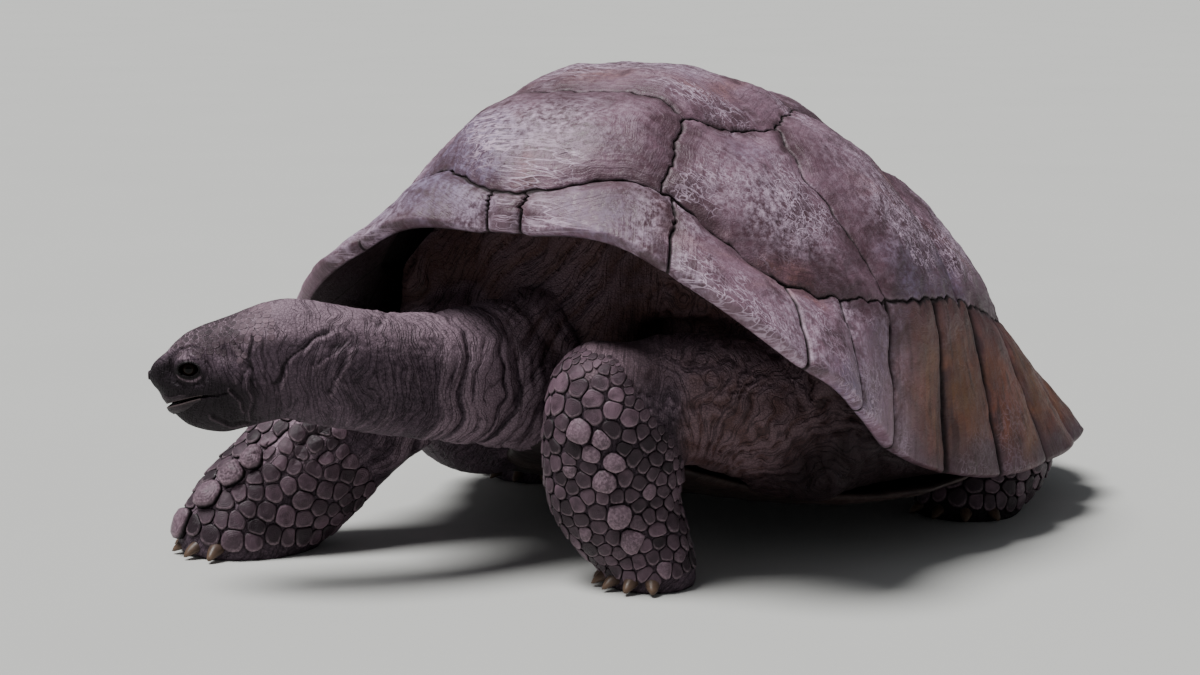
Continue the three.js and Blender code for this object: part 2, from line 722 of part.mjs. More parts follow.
// A claw: a blunt cone that curves down to just clear of the ground.
function claw(root, aim, { length, radius }) {
  const across = new THREE.Vector3().crossVectors(UP, aim).normalize();
  const tipHeight = CLAW_FLOOR + radius * 0.3;
  const rings = [0, 0.45, 0.8].map((share) => {
    const middle = root.clone().addScaledVector(aim, length * share);
    middle.z += (tipHeight - root.z) * share ** 2;
    const size = radius * (1 - 0.62 * share ** 1.5);
    const ring = [];
    for (let k = 0; k < CLAW_SIDES; k++) {
      const angle = (k / CLAW_SIDES) * 2 * Math.PI;
      const point = middle.clone().addScaledVector(across, size * Math.cos(angle));
      ring.push(point.addScaledVector(UP, size * Math.sin(angle)));
    }
    return ring;
  });
  const tip = root.clone().addScaledVector(aim, length);
  tip.z = tipHeight;
  return solid(lofted(root.clone(), rings, tip));
}

function clawFan({ middle, reach, heading, spread, count }, size) {
  const [x, y] = middle;
  const rootHeight = size.radius + CLAW_FLOOR + 3;
  const claws = [];
  for (let k = 0; k < count; k++) {
    const angle = THREE.MathUtils.degToRad(heading + spread * (k / (count - 1) - 0.5));
    const aim = new THREE.Vector3(Math.sin(angle), -Math.cos(angle), 0);
    const root = new THREE.Vector3(x, y, rootHeight).addScaledVector(aim, reach);
    claws.push(claw(root, aim, size));
  }
  return claws;
}

function dressed(leg, scales, claws) {
  return largest(wasm.Manifold.union([leg, ...scales, ...claws]));
}

// ---------------------------------------------------------------- trunk

function trunk() {
  const around = 20;
  const squareness = 2.4;
  const rounded = (value) => Math.sign(value) * Math.abs(value) ** (2 / squareness);
  const rings = TRUNK_STATIONS.map(([y, x, z, wide, high]) => {
    const ring = [];
    for (let k = 0; k < around; k++) {
      const angle = (k / around) * 2 * Math.PI;
      const across = wide * rounded(Math.cos(angle));
      const upward = high * rounded(Math.sin(angle));
      ring.push(new THREE.Vector3(x + across, y, z + upward));
    }
    return ring;
  });
  return solid(lofted(middleOf(rings[0]), rings, middleOf(rings.at(-1))));
}

// Everything inside the dome, closed below by a floor that slopes in from the rim.
function underDome() {
  const floorHeight = 83;
  const floorShare = 0.78;
  const lift = -SHELL_WALL - GAP;
  const ring = (reach) => shellAngles().map((angle) => shellPoint(angle, reach, lift));
  const rings = [1, ...INNER_REACHES].map(ring);
  rings.unshift(rings[0].map(({ x, y }) => new THREE.Vector3(x * floorShare, y * floorShare, floorHeight)));
  return solid(lofted(new THREE.Vector3(0, 0, floorHeight), rings, shellPoint(0, 0, lift)));
}

// ---------------------------------------------------------------- head

function headPlace(a, side, h) {
  return HEAD_ORIGIN.clone().addScaledVector(HEAD_AIM, a).addScaledVector(HEAD_SIDE, side).addScaledVector(UP, h);
}

function headBody() {
  const around = 20;
  const rings = HEAD_STATIONS.map(([a, top, bottom, wide]) => {
    const ring = [];
    for (let k = 0; k < around; k++) {
      const angle = (k / around) * 2 * Math.PI;
      const squared = (value) => Math.sign(value) * Math.abs(value) ** 0.9;
      const high = (top + bottom) / 2 + ((top - bottom) / 2) * squared(Math.sin(angle));
      ring.push(headPlace(a, wide * squared(Math.cos(angle)), high));
    }
    return ring;
  });
  return solid(lofted(middleOf(rings[0]), rings, middleOf(rings.at(-1))));
}

// Geometry modelled in the head's own directions: x forward, y to the left cheek, z up.
function inHead(geometry, a, side, h) {
  const turned = new THREE.Matrix4().makeBasis(HEAD_AIM, HEAD_SIDE, UP);
  turned.setPosition(headPlace(a, side, h));
  return solid(geometry.clone().applyMatrix4(turned));
}

function ellipsoid([long, thick, high], around = 12) {
  return new THREE.SphereGeometry(1, around, around * 0.75).scale(long, thick, high);
}

// A slab over an outline drawn in a and h, running right through the head.
function headSlab(outline) {
  const through = 200;
  const shape = new THREE.Shape(outline.map(([a, h]) => new THREE.Vector2(a, h)));
  const geometry = new THREE.ExtrudeGeometry(shape, { depth: through, bevelEnabled: false });
  geometry.translate(0, 0, -through / 2);
  geometry.rotateX(Math.PI / 2);
  return inHead(geometry, 0, 0, 0);
}

const mouthGap = headSlab([...MOUTH_UPPER, MOUTH_CORNER, ...MOUTH_LOWER]);
const jawFront = [80, -130];
const jawRegion = headSlab([...[...MOUTH_LOWER].reverse(), MOUTH_CORNER, JAW_BACK, jawFront]);
const jawRoom = headSlab([
  ...[...MOUTH_LOWER].reverse(),
  [MOUTH_CORNER[0] - GAP, MOUTH_CORNER[1] + GAP],
  [JAW_BACK[0] - GAP, JAW_BACK[1]],
  jawFront,
]);

function finishedHead(rough) {
  let head = rough.subtract(mouthGap).subtract(jawRoom);
  for (const side of [1, -1]) {
    const lids = inHead(ellipsoid(LID_SIZE), -1, side * LID_DEPTH, 0);
    const socket = inHead(ellipsoid([EYE_RADIUS + GAP, EYE_RADIUS + GAP, EYE_RADIUS + GAP]), 0, side * EYE_DEPTH, 0);
    const opening = inHead(ellipsoid(EYE_OPENING), 1, side * (EYE_DEPTH + 12), 0);
    const nostril = inHead(ellipsoid([4, NOSTRIL.radius, NOSTRIL.radius], 8), NOSTRIL.a, side * NOSTRIL.side, NOSTRIL.h);
    head = head.add(lids).subtract(socket).subtract(opening).subtract(nostril);
  }
  return largest(head);
}

// ---------------------------------------------------------------- joining and parting the flesh

const limbs = [neckBody, forearmLeft, upperArmLeft, forelegRight, hindLegLeft, hindLegRight, tailBody];
const outside = wasm.Manifold.union([headBody(), ...limbs]).subtract(carapaceRoom);
const flesh = outside.add(trunk().intersect(underDome()));
let whole = flesh.subtract(plastronRoom).trimByPlane([0, 0, 1], 0);

// A box that takes one piece off the body. It starts at a face through `at` and runs `length`
// along `aim`, with the given half width and the heights that it spans.
function region(at, aim, length, halfWidth, low, high, grown) {
  const box = new THREE.BoxGeometry(length + grown, 2 * (halfWidth + grown), high - low + 2 * grown);
  box.translate((length - grown) / 2, 0, (high + low) / 2);
  const ahead = aim.clone().normalize();
  const across = new THREE.Vector3().crossVectors(UP, ahead);
  const turned = new THREE.Matrix4().makeBasis(ahead, across, UP);
  turned.setPosition(at.x, at.y, 0);
  return solid(box.applyMatrix4(turned));
}

function takeOff(at, aim, length, halfWidth, low, high) {
  const piece = whole.intersect(region(at, aim, length, halfWidth, low, high, 0));
  whole = whole.subtract(region(at, aim, length, halfWidth, low, high, GAP));
  return largest(piece);
}

const plan = (x, y) => new THREE.Vector3(x, y, 0);
const neckAim = plan(-0.391, -0.92);
const rightLegAim = plan(-0.664, -0.748);

const headRough = takeOff(headPlace(HEAD_CUT, 0, 0), HEAD_AIM, 220, 90, 160, 430);
const head = finishedHead(headRough);
const lowerJaw = largest(headRough.intersect(jawRegion));
const neck = takeOff(plan(-92, -440), neckAim, 400, 97, 100, 430);
const forearmBare = takeOff(plan(120, -436), plan(0, -1), 200, 118, -10, 400);
const shoulderLeft = takeOff(plan(185, -300), plan(0, -1), 135.7, 118, 84, 330);
const forelegBare = takeOff(plan(-292, -428), rightLegAim, 400, 128, -10, 400);
const shoulderRight = takeOff(plan(-205, -330), rightLegAim, 130.6, 108, 84, 370);
const hindBareLeft = takeOff(plan(345, 20), plan(0, 1), 290, 118, -10, 150);
const hindBareRight = takeOff(plan(-350, -60), plan(0, 1), 340, 118, -10, 150);
const tail = takeOff(plan(0, 530), plan(0, 1), 140, 80, 5, 220);
const torso = largest(whole);

const legFrontLeft = dressed(
  forearmBare,
  scaleRows(FOREARM_LEFT, sideways, FORE_SCALES_LEFT, 3),
  clawFan(FORE_CLAWS_LEFT, FORE_CLAW),
);
const legFrontRight = dressed(
  forelegBare,
  scaleRows(FORELEG_RIGHT, HEAD_SIDE, FORE_SCALES_RIGHT, 5),
  clawFan(FORE_CLAWS_RIGHT, FORE_CLAW),
);
const legRearLeft = dressed(
  hindBareLeft,
  scaleRows(HIND_LEG_LEFT, sideways, HIND_SCALES_LEFT, 7),
  clawFan(HIND_CLAWS_LEFT, HIND_CLAW),
);
const legRearRight = dressed(
  hindBareRight,
  scaleRows(HIND_LEG_RIGHT, sideways, HIND_SCALES_RIGHT, 11),
  clawFan(HIND_CLAWS_RIGHT, HIND_CLAW),
);

// ---------------------------------------------------------------- materials and the model

const finish = (color, roughness) => new THREE.MeshStandardMaterial({ color, roughness, metalness: 0 });
const shellFinish = finish(0x75606b, 0.62);
const plastronFinish = finish(0x5b4a42, 0.7);
const skinFinish = finish(0x3d343c, 0.85);
const beakFinish = finish(0x2a2529, 0.55);
const eyeFinish = finish(0x0b0908, 0.08);

const tortoise = new THREE.Group();

function addNode(name, geometry, material) {
  const mesh = new THREE.Mesh(geometry, material);
  mesh.name = name;
  tortoise.add(mesh);
}

addNode("carapace", geometryOf(carapace), shellFinish);
addNode("plastron", geometryOf(plastron), plastronFinish);
addNode("torso", geometryOf(torso), skinFinish);
addNode("neck", geometryOf(neck), skinFinish);
addNode("head", geometryOf(head), skinFinish);
addNode("lower_jaw", geometryOf(lowerJaw), beakFinish);
addNode("leg_front_left", geometryOf(legFrontLeft), skinFinish);
addNode("shoulder_left", geometryOf(shoulderLeft), skinFinish);
addNode("leg_front_right", geometryOf(legFrontRight), skinFinish);
addNode("shoulder_right", geometryOf(shoulderRight), skinFinish);
addNode("leg_rear_left", geometryOf(legRearLeft), skinFinish);
addNode("leg_rear_right", geometryOf(legRearRight), skinFinish);
addNode("tail", geometryOf(tail), skinFinish);
for (const [name, side] of [["eye_left", 1], ["eye_right", -1]]) {
  const ball = ellipsoid([EYE_RADIUS, EYE_RADIUS, EYE_RADIUS]);
  addNode(name, geometryOf(inHead(ball, 0, side * EYE_DEPTH, 0)), eyeFinish);
}

const box = new THREE.Box3().setFromObject(tortoise);
const boxMiddle = box.getCenter(new THREE.Vector3());
tortoise.position.set(-boxMiddle.x, -boxMiddle.y, -box.min.z);

export default tortoise;
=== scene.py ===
# %% [markdown]
# # A giant tortoise for a museum floor
#
# This script dresses the tortoise's solids: the shell gets its horn plates, the flesh becomes one
# wrinkled skin, and the legs get their scales and claws. Everything is in metres on the floor at
# z = 0. Sizes are easier to read in millimetres, so each piece is thought out in millimetres
# from the middle of the shell, and one small function carries it to its place in the scene.
#
# The first line of work is always the frame: the solids that the pieces have to agree with.

# %% Load the frame
import math

import bpy
import numpy as np
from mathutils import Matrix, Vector
from mathutils.bvhtree import BVHTree


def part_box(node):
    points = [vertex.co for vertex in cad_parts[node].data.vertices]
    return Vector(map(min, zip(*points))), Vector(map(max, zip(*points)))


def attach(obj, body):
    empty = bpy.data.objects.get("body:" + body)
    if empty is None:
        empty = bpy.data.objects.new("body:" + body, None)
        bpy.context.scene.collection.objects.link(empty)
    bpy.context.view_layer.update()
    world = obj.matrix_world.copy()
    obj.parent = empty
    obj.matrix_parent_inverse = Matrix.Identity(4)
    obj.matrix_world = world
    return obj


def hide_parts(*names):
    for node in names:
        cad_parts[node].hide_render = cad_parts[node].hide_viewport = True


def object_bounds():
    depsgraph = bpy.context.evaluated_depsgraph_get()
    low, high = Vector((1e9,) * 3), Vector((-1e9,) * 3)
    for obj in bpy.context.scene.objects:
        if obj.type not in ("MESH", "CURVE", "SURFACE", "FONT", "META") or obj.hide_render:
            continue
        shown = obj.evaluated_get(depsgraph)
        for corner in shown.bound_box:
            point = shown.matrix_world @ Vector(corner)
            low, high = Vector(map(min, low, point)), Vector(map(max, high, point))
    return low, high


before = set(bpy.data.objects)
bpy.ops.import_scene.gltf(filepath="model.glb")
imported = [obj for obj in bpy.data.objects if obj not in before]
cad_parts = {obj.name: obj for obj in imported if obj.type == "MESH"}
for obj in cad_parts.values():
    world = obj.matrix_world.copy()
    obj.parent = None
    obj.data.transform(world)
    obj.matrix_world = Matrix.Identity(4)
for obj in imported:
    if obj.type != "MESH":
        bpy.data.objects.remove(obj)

FRAME_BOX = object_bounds()
print("solids:", sorted(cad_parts))

# %% [markdown]
# ## Where things are
#
# Two sets of directions are used. The body's own: x to the animal's left, y to its tail, z up, from
# a spot on the floor under the middle of the shell. And the head's: a runs forward to the snout,
# side runs to the left cheek and h up, from the middle of the skull at the height of the eyes.
# The left eye's solid tells how far the whole model was moved to stand in the middle of its box.

# %% Places and directions
HEAD_MIDDLE = np.array([-328.0, -815.0, 293.0])
HEAD_AIM = np.array([-0.856, -0.517, 0.0])
HEAD_SIDE = np.array([0.517, -0.856, 0.0])
SIDEWAYS = np.array([0.856, 0.517, 0.0])
UP = np.array([0.0, 0.0, 1.0])
EYE_DEPTH, EYE_RADIUS = 26.0, 12.0
SCENE_SCALE = 1000.0  # millimetres in a metre

eye_low, eye_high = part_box("eye_left")
eye_middle = (np.array(eye_low) + np.array(eye_high)) / 2
SHIFT = eye_middle - (HEAD_MIDDLE + EYE_DEPTH * HEAD_SIDE) / SCENE_SCALE


def to_scene(points):
    """Millimetres from the middle of the shell, as metres in the scene."""
    return np.asarray(points) / SCENE_SCALE + SHIFT


def from_scene(points):
    return (np.asarray(points) - SHIFT) * SCENE_SCALE


def head_place(a, side, h):
    a, side, h = (np.asarray(value, float)[..., None] for value in (a, side, h))
    return HEAD_MIDDLE + a * HEAD_AIM + side * HEAD_SIDE + h * UP


def in_head(points):
    """The head's own a, side and h of points."""
    away = points - HEAD_MIDDLE
    return away @ HEAD_AIM, away @ HEAD_SIDE, away[:, 2]


print("moved by (mm):", np.round(SHIFT * SCENE_SCALE, 1))

# %% [markdown]
# ## Small tools
#
# Living shapes have few straight edges, so most pieces start as a flat primitive grid whose points
# are then carried to a formula's place, the way a potter pulls a slab round a form. The two
# edges that meet are merged, and the piece is closed. The same helpers read a piece's points,
# move them, and write a number on each point that the materials read later.

# %% Helpers for meshes
MERGE_DISTANCE = 0.00002


def active():
    return bpy.context.view_layer.objects.active


def set_mode(mode):
    bpy.ops.object.mode_set(mode=mode)


def deselect():
    if bpy.context.mode != "OBJECT":
        set_mode("OBJECT")
    bpy.ops.object.select_all(action="DESELECT")


def choose(piece):
    deselect()
    piece.select_set(True)
    bpy.context.view_layer.objects.active = piece


def rename(piece, name):
    piece.name = name
    piece.data.name = name
    return piece


def triples(items, key):
    """Three numbers for every point or face of a mesh, one row each."""
    flat = np.empty(len(items) * 3, np.float32)
    items.foreach_get(key, flat)
    return flat.reshape(-1, 3).astype(float)


def points_of(piece):
    return from_scene(triples(piece.data.vertices, "co"))


def normals_of(piece):
    return triples(piece.data.vertices, "normal")


def move_points(piece, points):
    piece.data.vertices.foreach_set("co", to_scene(points).astype(np.float32).ravel())
    piece.data.update()


def mark(piece, name, values):
    """Write a number on every point of a piece, for its material to read."""
    layer = piece.data.attributes.get(name)
    if layer is None:
        layer = piece.data.attributes.new(name, "FLOAT", "POINT")
    layer.data.foreach_set("value", np.asarray(values, np.float32))


def marks_of(piece, name):
    values = np.empty(len(piece.data.vertices), np.float32)
    piece.data.attributes[name].data.foreach_get("value", values)
    return values.astype(float)


def tree_of(piece):
    """A search tree of a piece's faces, to find the nearest one or the one that a ray hits."""
    bpy.context.view_layer.update()
    return BVHTree.FromObject(piece, bpy.context.evaluated_depsgraph_get())


def face_outwards(piece, merge=True):
    """Turn every face outwards, as a rule after merging the points that lie on each other."""
    choose(piece)
    set_mode("EDIT")
    bpy.ops.mesh.select_all(action="SELECT")
    if merge:
        bpy.ops.mesh.remove_doubles(threshold=MERGE_DISTANCE)
    bpy.ops.mesh.normals_make_consistent(inside=False)
    set_mode("OBJECT")
    bpy.ops.object.shade_smooth()


def edit_picked(piece, kind, picked, operator, **settings):
    """Run a mesh operator on the picked points or faces only."""
    choose(piece)
    set_mode("EDIT")
    bpy.ops.mesh.select_mode(type=kind)
    bpy.ops.mesh.select_all(action="DESELECT")
    set_mode("OBJECT")
    items = piece.data.polygons if kind == "FACE" else piece.data.vertices
    items.foreach_set("select", picked)
    set_mode("EDIT")
    operator(**settings)
    set_mode("OBJECT")
    print("picked for editing:", int(picked.sum()))


def modify(piece, kind, **settings):
    """Add a modifier, set it and apply it."""
    choose(piece)
    modifier = piece.modifiers.new(kind.title(), kind)
    for key, value in settings.items():
        setattr(modifier, key, value)
    bpy.ops.object.modifier_apply(modifier=modifier.name)


def joined(pieces, name):
    choose(pieces[0])
    for piece in pieces:
        piece.select_set(True)
    bpy.ops.object.join()
    return rename(active(), name)


def grid(name, columns, rows):
    """A flat grid, and how far across and along it each of its points lies, from 0 to 1."""
    deselect()
    bpy.ops.mesh.primitive_grid_add(
        x_subdivisions=columns, y_subdivisions=rows, size=2.0, location=(0, 0, 0))
    piece = rename(active(), name)
    u, v = ((triples(piece.data.vertices, "co")[:, :2] + 1) / 2).T
    return piece, u, v


def woven(name, columns, rows, place):
    """A grid whose points are carried to place(u, v), with u round the piece and v along it.

    place gives the points and a dictionary of numbers to write on them.
    """
    piece, u, v = grid(name, columns, rows)
    points, numbers = place(u, v)
    move_points(piece, points)
    for key, values in numbers.items():
        mark(piece, key, values)
    face_outwards(piece)
    return piece


def report(piece):
    piece.data.calc_loop_triangles()
    print(f"{piece.name}: {len(piece.data.loop_triangles)} triangles")


# %% Helpers for formulas
def unit(vectors):
    return vectors / np.linalg.norm(vectors, axis=-1, keepdims=True)


def smoothstep(value, start, end):
    share = np.clip((np.asarray(value, float) - start) / (end - start), 0, 1)
    return share * share * (3 - 2 * share)


def fade(value, start, end):
    return 1 - smoothstep(value, start, end)


def bell(away, width, power=2):
    """A bump that is 1 in its middle and falls off smoothly to both sides."""
    return np.exp(-((away / width) ** power))


def mound(x, wide, y, high):
    """A bump in two directions."""
    return np.exp(-((x / wide) ** 2) - ((y / high) ** 2))


def ripple(points, length, seed, waves=9):
    """Smooth seeded unevenness of about -1 to 1, with swells about length across."""
    random = np.random.default_rng(seed)
    points = np.asarray(points, float)
    ways = random.normal(size=(waves, points.shape[1]))
    ways /= np.linalg.norm(ways, axis=1, keepdims=True)
    ways *= 2 * np.pi / length * random.uniform(0.55, 1.6, (waves, 1))
    turns = random.uniform(0, 2 * np.pi, waves)
    return np.sin(points @ ways.T + turns).sum(axis=1) / math.sqrt(waves)


def patches(points, length, seed, start, end):
    """Soft patches of 0 and 1."""
    return smoothstep(ripple(points, length, seed), start, end)


def curve(stations, shares):
    """A smooth curve through stations of any width, at shares of its count from 0 to 1."""
    stations = np.asarray(stations, float)
    before, after = 2 * stations[0] - stations[1], 2 * stations[-1] - stations[-2]
    stations = np.vstack([before, stations, after])
    spot = np.clip(np.asarray(shares, float), 0, 1) * (len(stations) - 3)
    piece = np.minimum(spot.astype(int), len(stations) - 4)
    t = (spot - piece)[:, None]
    p0, p1, p2, p3 = (stations[piece + k] for k in range(4))
    steps = [np.linalg.norm((b - a)[:, :3], axis=1)[:, None] ** 0.5
             for a, b in ((p0, p1), (p1, p2), (p2, p3))]
    d0, d1, d2 = (np.maximum(step, 1e-4) for step in steps)
    slope1 = ((p1 - p0) / d0 - (p2 - p0) / (d0 + d1) + (p2 - p1) / d1) * d1
    slope2 = ((p2 - p1) / d1 - (p3 - p1) / (d1 + d2) + (p3 - p2) / d2) * d1
    lead = 2 * t**3 - 3 * t**2 + 1
    return lead * p1 + (t**3 - 2 * t**2 + t) * slope1 + (1 - lead) * p2 + (t**3 - t**2) * slope2


def run_of(stations, shares, step=0.002):
    """Which way a curve runs at each share."""
    return curve(stations, np.minimum(shares + step, 1)) - curve(stations, np.maximum(shares - step, 0))


# %% [markdown]
# ## The shell's surface
#
# A tortoise's shell is a dome that changes all the way round: high over the neck, steep at the
# sides and flared behind. It is described by a few stations round the shell, and by a chart of it:
# an angle round the dome and a reach from 0 at the top to 1 at the rim. At a reach of 0.8 runs the
# long seam above the marginal plates. The same sizes shape the solid, so plates and solid agree.

# %% The dome formula
DOME_TOP = 630
DOME_CENTRE_Y = -93
DOME_LEAN = 160
SHELL_MIDDLE = np.array([0, DOME_CENTRE_Y, 150.0])
RING_REACH = 0.8
CHART_STEP = 0.004
SHELL_STATIONS = np.array([
    # angle, ring radius, ring height, rim radius, rim height, fullness
    [0, 488, 510, 495, 462, 0.7], [20, 445, 525, 526, 457, 0.7], [45, 460, 391, 566, 307, 0.5],
    [65, 430, 363, 446, 174, 0.6], [90, 408, 343, 452, 108, 0.5], [120, 432, 288, 538, 98, 0.58],
    [150, 503, 238, 648, 93, 0.3], [180, 565, 222, 697, 115, 0.2],
])
MARGINAL_SEAMS = np.array([3, 26, 44, 54, 65, 81, 97, 113, 128, 142, 156, 170])
RIM_SCALLOP = 9


def round_shell(degrees):
    return np.abs((np.asarray(degrees, float) + 180) % 360 - 180)


def shell_value(column, degrees):
    """A column of the stations at any angle, alike on both sides and smooth all round."""
    angle = round_shell(degrees)
    at = SHELL_STATIONS[:, 0]
    values = SHELL_STATIONS[:, column]
    spans = np.diff(at)
    rates = np.diff(values) / spans
    slopes = np.zeros(len(at))
    slopes[1:-1] = (rates[:-1] * spans[1:] + rates[1:] * spans[:-1]) / (spans[:-1] + spans[1:])
    i = np.clip(np.searchsorted(at, angle, side="left") - 1, 0, len(at) - 2)
    span = spans[i]
    s = (angle - at[i]) / span
    first = values[i] * (1 + 2 * s) * (1 - s) ** 2 + slopes[i] * span * s * (1 - s) ** 2
    second = values[i + 1] * s**2 * (3 - 2 * s) + slopes[i + 1] * span * s**2 * (s - 1)
    return first + second


def marginal_share(degrees):
    """How far across its marginal plate an angle lies, from one seam to the next."""
    angle = round_shell(degrees)
    seams = np.concatenate([[-MARGINAL_SEAMS[0]], MARGINAL_SEAMS, [360 - MARGINAL_SEAMS[-1]]])
    i = np.clip(np.searchsorted(seams, angle, side="left") - 1, 0, len(seams) - 2)
    return (angle - seams[i]) / (seams[i + 1] - seams[i])


def scallop(degrees):
    hind = smoothstep(round_shell(degrees), 60, 150)
    return RIM_SCALLOP * (0.35 + 0.65 * hind) * (np.sin(np.pi * marginal_share(degrees)) - 0.5)


def dome(degrees, reach):
    degrees = np.asarray(degrees, float)
    reach = np.asarray(reach, float)
    ring_radius, ring_height, rim_radius, rim_height, fullness = (
        shell_value(column, degrees) for column in range(1, 6))
    rim_radius = rim_radius + scallop(degrees)
    sweep = fullness * np.pi / 2
    arc = np.minimum(reach, RING_REACH) / RING_REACH * sweep
    radius = ring_radius * np.sin(arc) / np.sin(sweep)
    climb = (np.cos(arc) - np.cos(sweep)) / (1 - np.cos(sweep))
    height = ring_height + (DOME_TOP - ring_height) * climb
    outside = reach > RING_REACH
    beyond = np.clip((reach - RING_REACH) / (1 - RING_REACH), 0, 1.2)
    radius = np.where(outside, ring_radius + (rim_radius - ring_radius) * beyond, radius)
    height = np.where(outside, ring_height + (rim_height - ring_height) * beyond, height)
    share = np.minimum(reach / RING_REACH, 1)
    angle = np.radians(degrees)
    height = height + DOME_LEAN * share * (1 - share) * np.cos(angle)
    return np.stack([radius * np.sin(angle), DOME_CENTRE_Y - radius * np.cos(angle), height], -1)


def chart_dome(x, y):
    return dome(np.degrees(np.arctan2(x, -y)), np.hypot(x, y))


def chart_normal(x, y):
    """The dome's outward direction at a place on the chart."""
    across = chart_dome(x + CHART_STEP, y) - chart_dome(x - CHART_STEP, y)
    back = chart_dome(x, y + CHART_STEP) - chart_dome(x, y - CHART_STEP)
    normal = unit(np.cross(across, back))
    return normal * np.sign(normal[..., 2:] + 1e-9)


print("shell length (mm):", round(float(dome(180, 1)[1] - dome(0, 1)[1])))

# %% [markdown]
# ## The big plates of the shell
#
# Thirteen horn plates cover the dome: five along the spine and four on each flank. Each one is
# modelled the way it grows, in rings round its middle that get closer towards the seam, so that
# the edge can roll down into the seam crisply. One grid makes one plate: its columns go round the
# outline, its rows go out from the middle, over the edge and back underneath.

# %% Outlines on the chart
RING_V1, RING_C1_C2, RING_C2_C3, RING_C3_C4, RING_C4_V5 = 24, 65, 92, 126, 157
V1_CORNER, V1_V2_MIDDLE = (0.25, -0.485), (0, -0.425)
V2_SIDE = (0.345, -0.26)
V2_V3_CORNER, V2_V3_MIDDLE = (0.3, -0.05), (0, 0.01)
V3_SIDE = (0.37, 0.19)
V3_V4_CORNER, V3_V4_MIDDLE = (0.26, 0.35), (0, 0.34)
V4_SIDE = (0.27, 0.46)
V4_V5_CORNER, V4_V5_MIDDLE = (0.16, 0.58), (0, 0.56)
C1_C2_BENDS = [(0.46, -0.318), (0.61, -0.335)]
C2_C3_BEND = (0.6, 0.1)
SEAM_STEP = 0.0085  # between points along a seam, on the chart
ARC_STEPS = 12


def ring_arc(start, end):
    angles = np.radians(np.linspace(start, end, ARC_STEPS + 1))
    return [(RING_REACH * math.sin(a), -RING_REACH * math.cos(a)) for a in angles]


def mirrored(outline):
    return [(-x, y) for x, y in outline][::-1]


def closed_by_mirror(left_half):
    """A plate on the spine, from its left half, which runs from the midline to the midline."""
    return left_half + mirrored(left_half[1:-1])


SPINE_PLATES = [
    ring_arc(-RING_V1, RING_V1) + [V1_CORNER, V1_V2_MIDDLE] + mirrored([V1_CORNER]),
    closed_by_mirror([V1_V2_MIDDLE, V1_CORNER, V2_SIDE, V2_V3_CORNER, V2_V3_MIDDLE]),
    closed_by_mirror([V2_V3_MIDDLE, V2_V3_CORNER, V3_SIDE, V3_V4_CORNER, V3_V4_MIDDLE]),
    closed_by_mirror([V3_V4_MIDDLE, V3_V4_CORNER, V4_SIDE, V4_V5_CORNER, V4_V5_MIDDLE]),
    [V4_V5_MIDDLE, V4_V5_CORNER] + ring_arc(RING_C4_V5, 360 - RING_C4_V5) + mirrored([V4_V5_CORNER]),
]
LEFT_FLANK_PLATES = [
    [V1_CORNER, V2_SIDE] + C1_C2_BENDS + ring_arc(RING_C1_C2, RING_V1),
    [V2_SIDE, V2_V3_CORNER, V3_SIDE, C2_C3_BEND] + ring_arc(RING_C2_C3, RING_C1_C2)
    + C1_C2_BENDS[::-1],
    [V3_SIDE, V3_V4_CORNER, V4_SIDE] + ring_arc(RING_C3_C4, RING_C2_C3) + [C2_C3_BEND],
    [V4_SIDE, V4_V5_CORNER] + ring_arc(RING_C4_V5, RING_C3_C4),
]
FLANK_PLATES = LEFT_FLANK_PLATES + [mirrored(outline) for outline in LEFT_FLANK_PLATES]


def seam_points(outline):
    """The outline with points close together and one on every corner."""
    points = []
    for (x, y), (next_x, next_y) in zip(outline, outline[1:] + outline[:1]):
        count = max(1, round(math.hypot(next_x - x, next_y - y) / SEAM_STEP))
        shares = np.arange(count)[:, None] / count
        points.append(np.array([x, y]) * (1 - shares) + np.array([next_x, next_y]) * shares)
    return np.vstack(points)


def wander(x, y):
    """Seams never run straight: the same small stray for every plate that shares them."""
    spots = np.stack([x, y], -1)
    near_top = fade(np.hypot(x, y), RING_REACH, 1)
    stray_x = 0.0042 * ripple(spots, 0.11, 11) + 0.0026 * ripple(spots, 0.034, 12)
    stray_y = 0.0042 * ripple(spots, 0.11, 13) + 0.0026 * ripple(spots, 0.034, 14)
    return x + stray_x * near_top, y + stray_y * near_top


# %% Relief of a plate
PLATE_EDGE = 4.0  # lift of a plate beside its seam
PLATE_RISE = 9.0  # how much higher its middle is
PLATE_UNDERSIDE = -10.0
PLATE_ROWS = 44
SEAM_DEPTH, SEAM_HALF = 3.8, 2.0
VALLEY_DEPTH, VALLEY_HALF = 3.4, 15.0
TOP_SHARE = 0.84  # share of a plate's rows that lie on its upper side
GROWTH_STEP = 8.5
POINTS_AT_ONCE = 2000


def seam_relief(distance):
    """A soft valley along a seam with a narrow crack down its middle."""
    crack = SEAM_DEPTH * bell(distance, SEAM_HALF, 1.6)
    return -crack - VALLEY_DEPTH * bell(distance, VALLEY_HALF)


def weathering(points):
    """Old horn: wide dents and swells, and smaller worn unevenness over them."""
    wide = 2.2 * ripple(points, 170, 21) + 1.0 * ripple(points, 60, 22)
    return wide + 0.45 * ripple(points, 24, 23) + 0.2 * ripple(points, 10, 24)


def zeros(u, *names):
    return {name: np.zeros(len(u)) for name in names}


